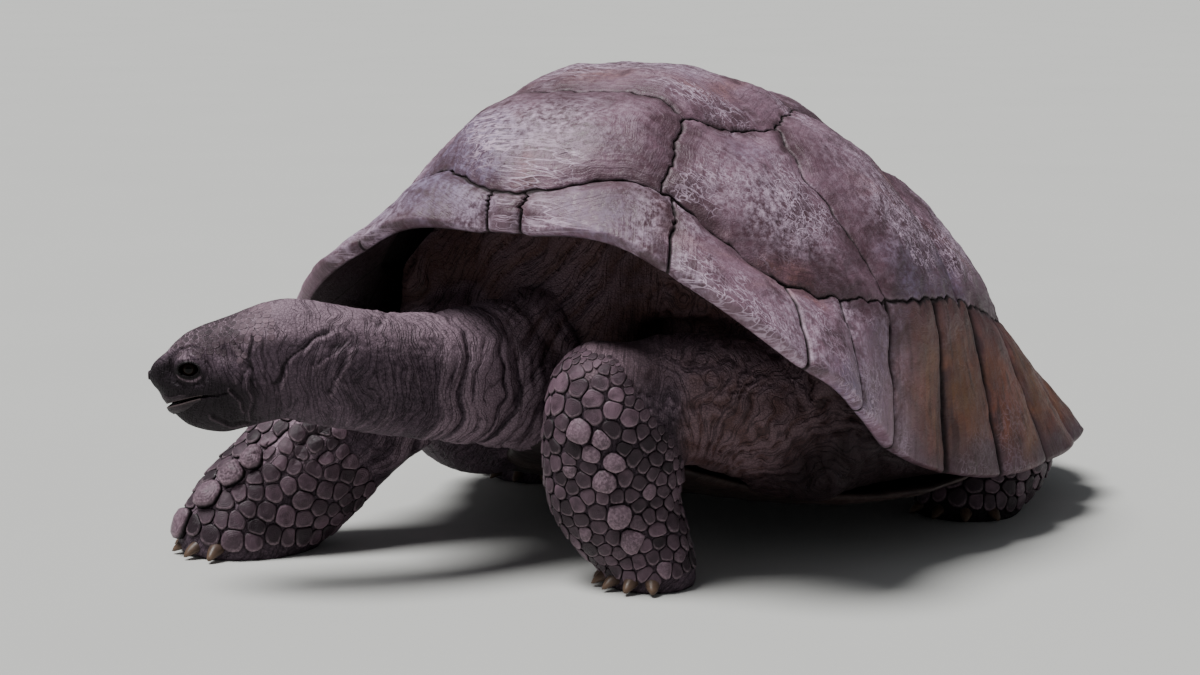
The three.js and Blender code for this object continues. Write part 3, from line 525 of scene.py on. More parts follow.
def horn_plate(name, outline, tone):
    seam = seam_points(outline)
    middle = seam.mean(axis=0)
    count = len(seam)

    def place(u, v):
        spot = seam[np.round(u * count).astype(int) % count]
        top = v <= TOP_SHARE
        out = np.where(top, v / TOP_SHARE, (1 - v) / (1 - TOP_SHARE))
        share = np.where(top, 1 - (1 - out) ** 1.7, out)
        chart = middle + (spot - middle) * share[:, None]
        x, y = wander(chart[:, 0], chart[:, 1])
        base = chart_dome(x, y)
        edge = chart_dome(*wander(seam[:, 0], seam[:, 1]))
        distance = np.empty(len(base))
        for start in range(0, len(base), POINTS_AT_ONCE):
            some = slice(start, start + POINTS_AT_ONCE)
            gaps = base[some, None, :] - edge[None, :, :]
            distance[some] = np.sqrt((gaps**2).sum(axis=2).min(axis=1))
        distance[share > 0.9999] = 0
        swell = PLATE_RISE * smoothstep(distance, 0, 95) ** 0.8
        growth = 0.3 * np.sin(2 * np.pi * distance / GROWTH_STEP + 1.5 * ripple(base, 90, 25))
        growth *= smoothstep(distance, 4, 14) * fade(distance, 60, 110)
        lift = PLATE_EDGE + swell + growth + seam_relief(distance) + weathering(base)
        points = base + chart_normal(x, y) * np.where(top, lift, PLATE_UNDERSIDE)[:, None]
        numbers = {"seam": np.where(top, distance, 0), "tone": np.full(len(u), tone), "growth": share}
        return points, {**numbers, **zeros(u, "rim", "flank", "wide")}

    return woven(name, count, PLATE_ROWS, place)


tones = list(np.random.default_rng(3).uniform(0, 1, 40))


def plate_set(name, kind, outlines):
    plates = [horn_plate(f"{kind}_{i}", outline, tones.pop(0)) for i, outline in enumerate(outlines)]
    piece = joined(plates, name)
    report(piece)
    return piece


spine_plates = plate_set("spine_plates", "spine", SPINE_PLATES)
flank_plates = plate_set("flank_plates", "flank", FLANK_PLATES)

# %% [markdown]
# ## The marginal plates
#
# Twenty-four plates make the skirt of the shell. In front they arch over the neck with a notch
# between each pair, at the sides they stand steep, and behind they flare. Old animals show wide dark
# grooves between the side plates. The skirt is one ring, with its columns crowded at the seams so that
# the grooves are crisp, and its rows running over the rim and back up inside.

# %% Build the skirt
SKIRT_WALL = 14.0
COLUMN_MM = 5.0
SEAM_CROWDING = 0.78
OUTER_ROWS, LIP_ROWS, INNER_ROWS = 46, 8, 16
SKIRT_ROWS = OUTER_ROWS + LIP_ROWS + INNER_ROWS
FRONT_GROOVE, FLANK_GROOVE = 4.5, 8.5
LIP_ROUND = 5.0
NOTCH_DEPTH = 4.0
BELOW_RING = 0.801
SKIRT_SEAMS = [-MARGINAL_SEAMS[0], *MARGINAL_SEAMS, *(360 - MARGINAL_SEAMS[::-1])]
SKIRT_SPANS = np.diff(SKIRT_SEAMS)


def skirt_angles():
    """Angles round the skirt, close together at every marginal seam, and which plate each is on."""
    angles, plates = [], []
    for i, (start, end) in enumerate(zip(SKIRT_SEAMS, SKIRT_SEAMS[1:])):
        width = float(np.linalg.norm(dome(end, 1) - dome(start, 1)))
        count = max(10, round(width / COLUMN_MM))
        t = np.arange(count) / count
        share = t - SEAM_CROWDING * np.sin(2 * np.pi * t) / (2 * np.pi)
        angles.append(start + (end - start) * share)
        plates.append(np.full(count, i))
    return np.concatenate(angles), np.concatenate(plates)


SKIRT_ANGLES, SKIRT_PLATES = skirt_angles()


def skirt_place(u, v):
    count = len(SKIRT_ANGLES)
    column = np.round(u * count).astype(int) % count
    degrees, plate = SKIRT_ANGLES[column], SKIRT_PLATES[column]
    row = v * SKIRT_ROWS
    outer = np.clip(row / OUTER_ROWS, 0, 1)
    lip = np.clip((row - OUTER_ROWS) / LIP_ROWS, 0, 1)
    inner = np.clip((row - OUTER_ROWS - LIP_ROWS) / (INNER_ROWS - 1), 0, 1)
    down = outer**1.35  # from the ring seam to the rim

    # the place on the dome and the directions outwards and down the skirt
    reach = RING_REACH + (1 - RING_REACH) * np.where(inner > 0, 1 - inner, down)
    angle = np.radians(degrees)
    x, y = reach * np.sin(angle), -reach * np.cos(angle)
    moved_x, moved_y = wander(x, y)
    shifted = np.where(inner > 0, 0, 1)
    base = chart_dome(x + (moved_x - x) * shifted, y + (moved_y - y) * shifted)
    around = dome(degrees + 0.5, reach) - dome(degrees - 0.5, reach)
    fall = dome(degrees, np.minimum(reach + 0.02, 1.0))
    fall = fall - dome(degrees, np.maximum(reach - 0.02, BELOW_RING))
    normal = unit(np.cross(fall, around))
    normal *= np.sign(((base - SHELL_MIDDLE) * normal).sum(axis=1))[:, None]
    away = unit(fall)

    # relief: swell of each plate, grooves between plates, strakes along the grooves
    share = marginal_share(degrees)
    side = np.minimum(share, 1 - share) * SKIRT_SPANS[plate] * np.linalg.norm(around, axis=1)
    ring = down * np.linalg.norm(dome(degrees, 1.0) - dome(degrees, BELOW_RING), axis=1)
    flank = smoothstep(round_shell(degrees), 58, 80)
    depth = FRONT_GROOVE + (FLANK_GROOVE - FRONT_GROOVE) * flank
    arch = np.sqrt(np.clip(np.sin(np.pi * share), 0, 1))
    lift = PLATE_EDGE + 4.0 * arch * smoothstep(down, 0, 0.3)
    lift += 3.0 * np.sin(np.pi * down) * (1 - flank)
    groove = depth * bell(side, 2.0 + 3.6 * flank, 2.2) + 1.8 * bell(side, 13)
    lift += seam_relief(ring) - groove * smoothstep(ring, -2, 5)
    strake = 0.5 * np.sin(2 * np.pi * side / 7.5 + 2 * ripple(base, 80, 31)) * smoothstep(side, 6, 14)
    lift += strake * (0.4 + 0.6 * flank) + weathering(base) * 0.8

    # over the rim and back up inside, with notches and arches in front
    turn = lip * np.pi
    outward = lift - (SKIRT_WALL + lift) * (1 - np.cos(turn)) / 2
    outward = np.where(inner > 0, -SKIRT_WALL, outward)
    points = base + normal * outward[:, None] + away * (LIP_ROUND * np.sin(turn))[:, None]
    front = fade(round_shell(degrees), 40, 66)
    notch = NOTCH_DEPTH * bell(side, 9) * front
    edge = smoothstep(down, 0.7, 1) * np.where(inner > 0, smoothstep(1 - inner, 0.7, 1), 1)
    points -= away * (notch * edge)[:, None]
    points[:, 2] += 5.0 * front * edge * (np.sin(np.pi * share) - 0.4)
    first_or_last = (v > 1 - 0.5 / SKIRT_ROWS) | ((down <= 0) & (lip <= 0))
    start = base + normal * (PLATE_EDGE + seam_relief(0.0) + weathering(base) * 0.8)[:, None]
    points = np.where(first_or_last[:, None], start, points)
    return points, {
        "seam": np.where(lip > 0, side, np.minimum(side, ring)),
        "tone": np.random.default_rng(5).uniform(0, 1, 24)[plate],
        "growth": np.clip(2 * np.minimum(share, 1 - share), 0, 1),
        "rim": np.where(lip > 0, 1, np.clip(down, 0, 1)) * np.where(inner > 0, 1 - inner, 1),
        "flank": flank,
        "wide": 0.15 + 0.85 * flank,
    }


skirt = woven("marginal_plates", len(SKIRT_ANGLES), SKIRT_ROWS, skirt_place)
report(skirt)

# %% Keep the shell inside its box
PRESS_MARGIN = 60.0


def press_inside(pieces):
    """Draw the outermost margin of the pieces in, so that nothing stands out of the solids' box."""
    high = from_scene(FRAME_BOX[1])
    extent = np.max([points_of(piece).max(axis=0) for piece in pieces], axis=0)
    for piece in pieces:
        points = points_of(piece)
        for axis in (0, 2):
            start = high[axis] - PRESS_MARGIN
            share = PRESS_MARGIN / max(extent[axis] - start, PRESS_MARGIN)
            beyond = np.clip(points[:, axis] - start, 0, None)
            points[:, axis] -= beyond * (1 - share)
        move_points(piece, points)


press_inside([spine_plates, flank_plates, skirt])
print("pressed inside the box:", [piece.name for piece in (spine_plates, flank_plates, skirt)])

# %% [markdown]
# ## The plastron
#
# The belly shield is a flat slab with its own pairs of plates, lifted at the throat and reaching out
# to the skirt at the bridges. It is one closed grid: the columns run across underneath and back
# above, and the rows run from throat to tail. Grooves are pressed in along its seams.

# %% Build the plastron
PLASTRON_WIDTHS = np.array([
    # y, half width
    [-440, 62], [-390, 120], [-290, 200], [-215, 330], [-165, 412], [-60, 424],
    [20, 380], [90, 262], [200, 224], [310, 205], [400, 140], [462, 50],
])
PLASTRON_SEAMS = [-390, -290, -165, 20, 200, 345]
PLASTRON_HALF_THICK = 9.0
PLASTRON_PLATE = 4.0


def plastron_height(x, y):
    front = np.clip((-200 - y) / 240, 0, 1.2)
    return 64 + 92 * front**1.4 + 26 * (np.abs(x) / 424) ** 4


def plastron_place(u, v):
    ends = PLASTRON_WIDTHS[[0, -1], 0]
    y = ends[0] + (ends[1] - ends[0]) * v
    half = np.interp(y, PLASTRON_WIDTHS[:, 0], PLASTRON_WIDTHS[:, 1])
    across = np.where(u < 0.5, 4 * u - 1, 3 - 4 * u)
    x = half * across
    body = np.sqrt(np.clip(1 - np.abs(across) ** 8, 0, 1))
    body = body * np.sqrt(np.clip(1 - np.abs(2 * v - 1) ** 60, 0, 1))
    bend = 14 * np.cos(np.pi * across)[:, None]
    seams = np.abs(y[:, None] - np.array(PLASTRON_SEAMS) - bend).min(axis=1)
    distance = np.minimum(seams, np.abs(x))
    relief = 3.0 * bell(distance, 4) + 0.8 * ripple(np.stack([x, y], -1), 70, 41)
    under = PLASTRON_PLATE - relief
    middle = plastron_height(x, y) + PLASTRON_HALF_THICK
    z = np.where(
        u < 0.5, middle - (PLASTRON_HALF_THICK + under) * body, middle + PLASTRON_HALF_THICK * body)
    numbers = {"seam": distance, "tone": np.full(len(u), 0.4)}
    return np.stack([x, y, z], -1), {**numbers, **zeros(u, "growth", "rim", "flank", "wide")}


plastron = woven("plastron_plates", 160, 150, plastron_place)
report(plastron)

# %% [markdown]
# ## The body under the shell
#
# The flesh is one skin without seams. Its bulk comes from a copy of the trunk's solid with the part
# that nobody can see cut away, and from tubes for the limbs and the tail that reach well into it.
# A voxel remesh then melts them into one surface, the way clay is pressed over an armature, and a
# smoothing pass takes the facets off.

# %% Limb stations: x, y, z, half size sideways, half size across it
FOREARM_LEFT = np.array([
    [166, -489, -12, 54, 56], [162, -490, 14, 58, 60], [150, -494, 52, 62, 64],
    [130, -505, 92, 78, 70], [119, -511, 136, 90, 75], [116, -513, 184, 89, 77],
    [114, -515, 232, 83, 76], [116, -514, 266, 76, 70], [119, -511, 296, 60, 58],
    [121, -510, 316, 36, 38],
], float)
UPPER_ARM_LEFT = np.array([
    [118, -500, 248, 56, 60], [150, -455, 246, 72, 76], [190, -385, 230, 82, 90],
    [214, -310, 208, 84, 94], [205, -230, 204, 84, 90], [150, -160, 232, 70, 80],
], float)
FORELEG_RIGHT = np.array([
    [-424, -612, -14, 70, 84], [-420, -606, 16, 72, 88], [-405, -580, 52, 74, 90],
    [-376, -545, 92, 78, 90], [-345, -500, 140, 82, 90], [-305, -445, 190, 84, 88],
    [-255, -380, 236, 86, 88], [-195, -305, 262, 84, 88], [-140, -230, 262, 70, 78],
], float)
HIND_LEG_LEFT = np.array([
    [328, 138, -14, 74, 78], [328, 140, 14, 76, 80], [332, 156, 46, 82, 86], [338, 186, 84, 92, 98],
    [326, 214, 132, 100, 108], [290, 228, 192, 96, 106], [240, 220, 252, 80, 90],
], float)
HIND_LEG_RIGHT = np.array([
    [-352, 46, -14, 74, 78], [-351, 50, 14, 76, 80], [-348, 76, 46, 82, 86], [-342, 120, 84, 90, 92],
    [-326, 172, 130, 98, 104], [-290, 208, 190, 96, 106], [-240, 214, 252, 80, 90],
], float)
TAIL = np.array([
    [0, 470, 187, 60, 60], [0, 530, 150, 46, 44], [8, 572, 108, 34, 32], [22, 594, 70, 22, 21],
    [34, 600, 40, 11, 10],
], float)
LIMBS = [(FOREARM_LEFT, SIDEWAYS), (FORELEG_RIGHT, HEAD_SIDE), (HIND_LEG_LEFT, SIDEWAYS),
         (HIND_LEG_RIGHT, SIDEWAYS), (TAIL, SIDEWAYS)]


def limb_frame(stations, side, shares):
    """Middle, two square directions and the half sizes along them, at shares of a limb."""
    middle = curve(stations[:, :3], shares)
    along = unit(run_of(stations[:, :3], shares))
    across = unit(side - along * (along @ side)[:, None])
    third = np.cross(along, across)
    sizes = curve(stations[:, 3:5], shares)
    return middle, across, third, sizes[:, :1], sizes[:, 1:2]


def limb_point(stations, side, shares, turns):
    """Points of a limb's surface."""
    middle, across, third, wide, deep = limb_frame(stations, side, shares)
    cos, sin = np.cos(turns)[:, None], np.sin(turns)[:, None]
    return middle + across * wide * cos + third * deep * sin


def limb_tube(name, stations, side, columns=48, rows=60):
    def place(u, v):
        points = limb_point(stations, side, v, 2 * np.pi * u)
        ends = (v < 1e-6) | (v > 1 - 1e-6)
        points[ends] = curve(stations[:, :3], v[ends])
        return points, {}

    return woven(name, columns, rows, place)


# %% Trunk and limbs melted together
HIDDEN_LOW = np.array([-620, -215.0, 190.0])
HIDDEN_HIGH = np.array([620, 760, 760])
SKIN_VOXEL = 0.0062


def visible_trunk():
    choose(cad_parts["torso"])
    bpy.ops.object.duplicate()
    trunk = active()
    trunk.parent = None
    for key in list(trunk.keys()):
        del trunk[key]
    trunk.name = "trunk"
    face_outwards(trunk)
    deselect()
    bpy.ops.mesh.primitive_cube_add(size=1, location=to_scene((HIDDEN_LOW + HIDDEN_HIGH) / 2))
    block = active()
    block.scale = (HIDDEN_HIGH - HIDDEN_LOW) / SCENE_SCALE
    modify(trunk, "BOOLEAN", operation="DIFFERENCE", object=block, solver="MANIFOLD")
    bpy.data.objects.remove(block)
    return trunk


def padding(name, middle, half_sizes):
    """A soft lump of flesh, as a ball stretched to its half sizes."""
    def place(u, v):
        turn, tilt = 2 * np.pi * u, np.pi * v
        ball = [np.sin(tilt) * np.cos(turn), np.sin(tilt) * np.sin(turn), np.cos(tilt)]
        return np.array(middle) + np.stack(ball, -1) * half_sizes, {}

    return woven(name, 40, 24, place)


def smooth_where(piece, weights, turns):
    group = piece.vertex_groups.new(name="soften")
    for index in np.nonzero(weights > 0.01)[0]:
        group.add([int(index)], float(min(1, weights[index])), "REPLACE")
    modify(piece, "SMOOTH", factor=0.5, iterations=turns, vertex_group="soften")
    piece.vertex_groups.clear()


def on_limb(points, stations, side, top):
    """1 on the surface of a limb up to a share of its length, fading to 0 off it."""
    middle, _, _, wide, deep = limb_frame(stations, side, np.linspace(0, top, 60))
    size = ((wide + deep) / 2)[:, 0]
    near = np.full(len(points), 1e9)
    for spot, radius in zip(middle, size):
        near = np.minimum(near, np.linalg.norm(points - spot, axis=1) / radius)
    return fade(near, 1.02, 1.2)


def on_limbs(points, tops):
    return np.max([on_limb(points, *limb, top) for limb, top in zip(LIMBS, tops)], axis=0)


body = joined([
    visible_trunk(),
    padding("recess_right", (-275, -258, 372), (125, 88, 92)),
    padding("chest_right", (-250, -270, 150), (120, 90, 85)),
    limb_tube("forearm_left", FOREARM_LEFT, SIDEWAYS),
    limb_tube("upper_arm_left", UPPER_ARM_LEFT, SIDEWAYS),
    limb_tube("foreleg_right", FORELEG_RIGHT, HEAD_SIDE),
    limb_tube("hind_leg_left", HIND_LEG_LEFT, SIDEWAYS),
    limb_tube("hind_leg_right", HIND_LEG_RIGHT, SIDEWAYS),
    limb_tube("tail", TAIL, SIDEWAYS, 32, 40),
], "body")
modify(body, "REMESH", mode="VOXEL", voxel_size=SKIN_VOXEL)
modify(body, "SMOOTH", factor=0.6, iterations=9)
smooth_where(body, 1 - on_limbs(points_of(body), (1.0, 0.6, 0.8, 0.8, 1.0)), 70)
report(body)

# %% [markdown]
# ## Head and neck
#
# The head gets the finest mesh. One tube runs from the tip of the snout over the skull and down the
# neck into the trunk, with its rows crowded at the face. Faces round the eyes and the mouth are then
# subdivided, so that lids, nostrils and the line of the mouth can be pressed in like marks in clay.

# %% The tube of head and neck
HEAD_STATIONS = [
    # a, top, bottom, half width, shift to the side where the neck begins to turn
    [54.6, -10, -17, 3.5, 0], [53.2, -4, -21.5, 8.5, 0], [49.5, 2.5, -27, 13, 0],
    [43, 9, -34, 18, 0], [34, 16, -48, 23, 0], [22, 29, -64, 28, 0], [6, 42, -77, 33, 0],
    [-16, 52, -84, 41, 0], [-42, 61, -86, 49, 0], [-68, 71, -80, 54, -1], [-92, 79, -74, 56, -5],
    [-116, 83, -71, 56, -12],
]
NECK_STATIONS = [
    # x, y, z, half width, half height
    [-216, -722, 294, 59, 80], [-182, -680, 282, 62, 80], [-148, -620, 268, 65, 81],
    [-122, -545, 258, 69, 84], [-97, -460, 252, 76, 96], [-80, -390, 248, 92, 106],
    [-40, -290, 234, 96, 106],
]
SNOUT_STEP, FACE_STEP, NECK_STEP = 0.9, 1.6, 3.1
HEAD_COLUMNS = 138
JAW_NARROWING = 0.16
TURNING_STEP = 0.03


def throat_stations():
    rows = []
    for a, top, bottom, wide, shift in HEAD_STATIONS:
        rows.append([*head_place(a, shift, (top + bottom) / 2), wide, (top - bottom) / 2])
    return np.array(rows + NECK_STATIONS, float)


THROAT = throat_stations()
THROAT_LINE, THROAT_SIZES = THROAT[:, :3], THROAT[:, 3:]


def throat_shares():
    """Shares along the tube, close together at the snout and wider apart down the neck."""
    shares = np.linspace(0, 1, 6000)
    line = np.hstack([curve(THROAT_LINE, shares), curve(THROAT_SIZES, shares)])
    steps = np.linalg.norm(np.diff(line, axis=0), axis=1)
    length = np.concatenate([[0], np.cumsum(steps)])
    wanted = [0.0]
    while wanted[-1] < length[-1]:
        at = wanted[-1]
        step = SNOUT_STEP + (FACE_STEP - SNOUT_STEP) * smoothstep(at, 10, 40)
        step += (NECK_STEP - FACE_STEP) * smoothstep(at, 190, 280)
        wanted.append(at + float(step))
    wanted = np.minimum(wanted, length[-1])
    return np.interp(wanted, length, shares), wanted


THROAT_SHARES, THROAT_LENGTHS = throat_shares()
print("rows of head and neck:", len(THROAT_SHARES), "length (mm):", round(float(THROAT_LENGTHS[-1])))


def throat_place(u, v):
    row = np.round(v * (len(THROAT_SHARES) - 1)).astype(int)
    shares = THROAT_SHARES[row]
    middle = curve(THROAT_LINE, shares)
    turning = smoothstep(shares, 0.46, 0.56)[:, None]
    along = run_of(THROAT_LINE, shares) * (1 - turning)
    along = along + run_of(THROAT_LINE, shares, TURNING_STEP) * turning
    along[:, 2] = 0
    across = np.cross(unit(along), UP)
    across *= np.sign(across @ HEAD_SIDE)[:, None]
    sizes = curve(THROAT_SIZES, shares)
    turn = 2 * np.pi * u
    squareness = 0.9 + 0.1 * smoothstep(shares, 0.5, 0.7)
    cos = np.sign(np.cos(turn)) * np.abs(np.cos(turn)) ** squareness
    sin = np.sign(np.sin(turn)) * np.abs(np.sin(turn)) ** squareness
    is_head = fade(shares, 0.5, 0.68)
    cos = cos * (1 - JAW_NARROWING * smoothstep(-sin, 0.1, 1) * is_head)
    points = middle + across * (sizes[:, 0] * cos)[:, None] + UP * (sizes[:, 1] * sin)[:, None]
    ends = (row == 0) | (row == len(THROAT_SHARES) - 1)
    points[ends] = middle[ends]
    return points, {"along": THROAT_LENGTHS[row]}


head = woven("head_and_neck", HEAD_COLUMNS, len(THROAT_SHARES) - 1, throat_place)
report(head)
bare_tree = tree_of(head)

# %% Where the finer faces go
MOUTH_A, MOUTH_H, MOUTH_HALF = np.array([
    # a, h, half opening
    [-58, -25, 0.4], [-39, -31.5, 0.6], [-22, -34, 0.9], [-11, -35.5, 1.5], [10, -42, 2.3],
    [22, -46, 2.4], [30, -50, 2.2], [40, -55, 2.0],
]).T
LID_LONG, LID_THICK, LID_HIGH = 20.0, 12.6, 16.5
LID_DEPTH = 26.6
OPENING_LONG, OPENING_HIGH = 12.4, 8.6
NOSTRIL_SIDE, NOSTRIL_H, NOSTRIL_RADIUS = 6.0, -7.0, 1.9
CHEEK_FROM = 12  # sideways from the middle of the head


def mouth_at(a):
    """Height and half opening of the mouth at a."""
    return np.interp(a, MOUTH_A, MOUTH_H), np.interp(a, MOUTH_A, MOUTH_HALF)


def refine(piece, test):
    """Subdivide the faces whose middle, in the head's directions, passes a test."""
    picked = test(*in_head(from_scene(triples(piece.data.polygons, "center"))))
    edit_picked(piece, "FACE", picked, bpy.ops.mesh.subdivide, number_cuts=1, smoothness=0)


def on_face_feature(a, side, h):
    """Near the mouth, an eye or a nostril."""
    level, _ = mouth_at(a)
    mouth = (np.abs(h - level) < 7.5) & (a > -62) & (a < 60)
    eye = ((a / 25) ** 2 + (h / 22) ** 2 < 1) & (np.abs(side) > CHEEK_FROM)
    return mouth | eye | ((a > 43) & (np.abs(h - NOSTRIL_H) < 8))


def on_lid_edge(a, side, h):
    spread = (a / OPENING_LONG) ** 2 + (h / OPENING_HIGH) ** 2
    return (spread > 0.45) & (spread < 1.9) & (np.abs(side) > CHEEK_FROM)


refine(head, on_face_feature)
refine(head, on_lid_edge)
report(head)

# %% [markdown]
# ## Lids, brow, nostrils and mouth
#
# Each feature is a small push or pull on the points near it, given in the head's own directions. The
# lids follow an egg a little larger than the eyeball, with an almond opening sunk in it. The brow
# stands over them and the socket is a moat round them. The mouth is a cleft that follows the line
# of the jaws, widest under the beak, and the creases of the cheeks are drawn as short lines.

# %% Sculpt the face
CHEEK_CREASES = [
    # points in a and h, depth, half width
    ([(-82, 44), (-80, 10), (-84, -30), (-80, -66)], 1.7, 2.8),
    ([(-112, -20), (-120, 2), (-133, 20), (-158, 36), (-184, 50)], 2.4, 2.6),
    ([(-109, -26), (-122, -8), (-128, 8)], 1.4, 1.8),
    ([(-137, 80), (-135, 58), (-138, 34)], 1.0, 1.3),
    ([(-143, 80), (-142, 55), (-146, 36)], 0.9, 1.2),
    ([(-60, 34), (-72, 22), (-74, 4), (-66, -12)], 1.6, 3.0),
    ([(-58, -26), (-66, -34), (-70, -50)], 1.8, 2.2),
    ([(-96, 36), (-100, 0), (-98, -40)], 1.2, 1.8),
    ([(-88, 20), (-91, -6), (-90, -34)], 0.9, 1.4),
    ([(-104, 26), (-109, 4), (-107, -18)], 0.9, 1.4),
    ([(-66, 8), (-84, 3), (-104, 9), (-122, 4)], 0.8, 1.3),
    ([(-62, -6), (-80, -14), (-98, -12)], 0.8, 1.3),
    ([(-20, 24), (-4, 27), (12, 24)], 1.3, 1.6),
    ([(-24, 10), (-30, 0), (-26, -14)], 1.2, 1.6),
    ([(-14, -20), (2, -23), (16, -17)], 1.2, 1.5),
    ([(-30, -60), (-50, -70), (-78, -72)], 1.6, 3.0),
    ([(-160, 4), (-176, 20), (-200, 34)], 1.6, 2.2),
    ([(-176, -30), (-190, 0), (-214, 30), (-226, 62)], 1.9, 2.6),
    ([(-233, 40), (-240, 56), (-252, 70)], 2.0, 2.8),
    ([(-212, -60), (-226, -30), (-230, 8)], 1.6, 2.4),
]
FACE_CREASES = 12  # the first ones, which fade out towards the eye


def line_distance(x, y, line):
    """Distance from each (x, y) to a drawn line, and its side of it."""
    best = np.full(len(x), 1e9)
    sign = np.zeros(len(x))
    for (x0, y0), (x1, y1) in zip(line, line[1:]):
        run_x, run_y = x1 - x0, y1 - y0
        share = np.clip(((x - x0) * run_x + (y - y0) * run_y) / (run_x**2 + run_y**2), 0, 1)
        away = np.hypot(x - x0 - run_x * share, y - y0 - run_y * share)
        cross = np.sign(run_x * (y - y0) - run_y * (x - x0))
        sign = np.where(away < best, cross, sign)
        best = np.minimum(away, best)
    return best, sign


def sculpt_face(piece):
    points = points_of(piece)
    normals = normals_of(piece)
    a, side, h = in_head(points)
    wide = np.abs(side)
    left = np.sign(side)
    lid = (a / LID_LONG) ** 2 + (h / LID_HIGH) ** 2
    spread = (a / OPENING_LONG) ** 2 + ((h + 0.5) / OPENING_HIGH) ** 2
    lid_root, spread_root = np.sqrt(lid), np.sqrt(spread)
    beside = smoothstep(wide, 10, 20)

    # bone: socket, brow, cheek, temple, skull, jaw muscle, the flat ear disc and the snout
    brow_line = 20 - 0.018 * (a + 3) ** 2
    disc = np.hypot(a + 76, (h - 2) * 1.1)
    push = -4.5 * bell(lid_root - 1.28, 0.26) * (1 - 0.5 * smoothstep(-h, 0, 14))
    push += 4.2 * bell(h - brow_line, 5.5) * smoothstep(a, -26, -12) * fade(a, 14, 28)
    push += 2.6 * mound(a + 4, 20, h + 24, 6)
    push -= 3.5 * mound(a + 48, 16, h - 22, 14)
    push += 3.5 * mound(a + 96, 26, h - 42, 11)
    push += 4.0 * mound(a + 84, 20, h + 34, 24)
    push += 1.2 * bell(disc - 13, 3) - 1.6 * bell(disc, 9)
    push -= 2.0 * mound(a - 30, 10, h + 8, 12)
    points += normals * (push * beside)[:, None]

    # eyelids, and the opening sunk behind the front of the eyeball
    a, side, h = in_head(points)
    wide = np.abs(side)
    on_lid = (lid < 1.05) & (wide > CHEEK_FROM)
    shell = LID_DEPTH + LID_THICK * np.sqrt(np.clip(1 - lid * 0.92, 0, 1))
    folds = 0.35 * np.sin(spread_root * 13 + 0.6 * np.sin(a / 3)) * smoothstep(spread, 1.3, 2.2)
    wanted = np.where(on_lid, np.maximum(wide, shell + folds), wide)
    eyeball = EYE_DEPTH + np.sqrt(np.clip(EYE_RADIUS**2 - a**2 - h**2, 0, None))
    sunk = fade(spread_root, 0.86, 1.02)
    wanted = np.where(on_lid, wanted + 0.9 * bell(spread_root - 1.12, 0.1), wanted)
    in_opening = (sunk > 0) & (wide > CHEEK_FROM)
    wanted = np.where(in_opening, wanted + (eyeball - 2.2 - wanted) * sunk, wanted)
    points += HEAD_SIDE * ((wanted - wide) * left)[:, None]

    # the mouth and its lips
    a, _, h = in_head(points)
    level, half = mouth_at(a)
    off = np.abs(h - level)
    inward = -normals.copy()
    inward[:, 2] *= 0.15
    inward = unit(inward)
    reach = smoothstep(a, -60, -50)
    deep = (2.2 + 9.0 * smoothstep(a, -40, 0)) * reach
    cleft = deep * fade(off, half * 0.7, half * 1.3 + 0.5)
    lip = 0.9 * bell(off - half - 2.4, 1.7) * reach
    points += inward * (cleft - lip)[:, None]

    # nostrils
    a, side, h = in_head(points)
    pit = np.sqrt((np.abs(side) - NOSTRIL_SIDE) ** 2 + (h - NOSTRIL_H) ** 2)
    points -= HEAD_AIM * (4.0 * bell(pit, NOSTRIL_RADIUS) * (a > 40))[:, None]

    # creases of cheek, temple and nape, a little different on the far side
    fold = np.zeros(len(points))
    for index, (line, depth, half_width) in enumerate(CHEEK_CREASES):
        a, side, h = in_head(points)
        stray = 2.0 * ripple(points, 26, 60 + index)
        distance, above = line_distance(a + stray, h + stray + 2.5 * (side < 0), line)
        strength = beside * smoothstep(-a, -60, -20) if index < FACE_CREASES else beside
        groove = bell(distance, half_width)
        ridge = bell(distance - 1.9 * half_width, half_width) * (above > 0)
        points += normals * ((0.45 * ridge - groove) * depth * strength)[:, None]
        fold += (0.5 * ridge - groove) * np.minimum(depth / 2, 1) * strength
    move_points(piece, points)
    seen = beside * (np.abs(a) < 30)
    fold += 0.9 * bell(lid_root - 0.93, 0.1) * smoothstep(-h, 4, 12) * seen
    # painted shade along the rim of the lids and in the socket under the brow, added to the mouth's
    # cleft
    lid_rim_shade = 0.6 * bell(spread_root - 1.1, 0.3) * seen
    brow_socket_shade = 0.32 * bell(lid_root - 1.2, 0.16) * smoothstep(h, -8, 6) * seen
    mark(piece, "fold", fold)
    mark(piece, "cleft", np.clip(cleft / 6 + lid_rim_shade + brow_socket_shade, 0, 1))


sculpt_face(head)
print("creases drawn on the face:", len(CHEEK_CREASES))

# %% [markdown]
# ## Wrinkles of the neck
#
# A neck that draws in and out is covered in rings of loose skin, fine behind the head and heavy at its
# root. They are waves along the neck whose phase wanders, so that they fork, fade and meet again.

# %% Fold the neck
SKULL_LENGTH = 195.0


def pleat(place, width, sharpness=0.6):
    """A wave with narrow valleys and round crests, from -1 to 1, one valley in each width."""
    return 2 * np.abs(np.sin(np.pi * place / width)) ** sharpness - 1


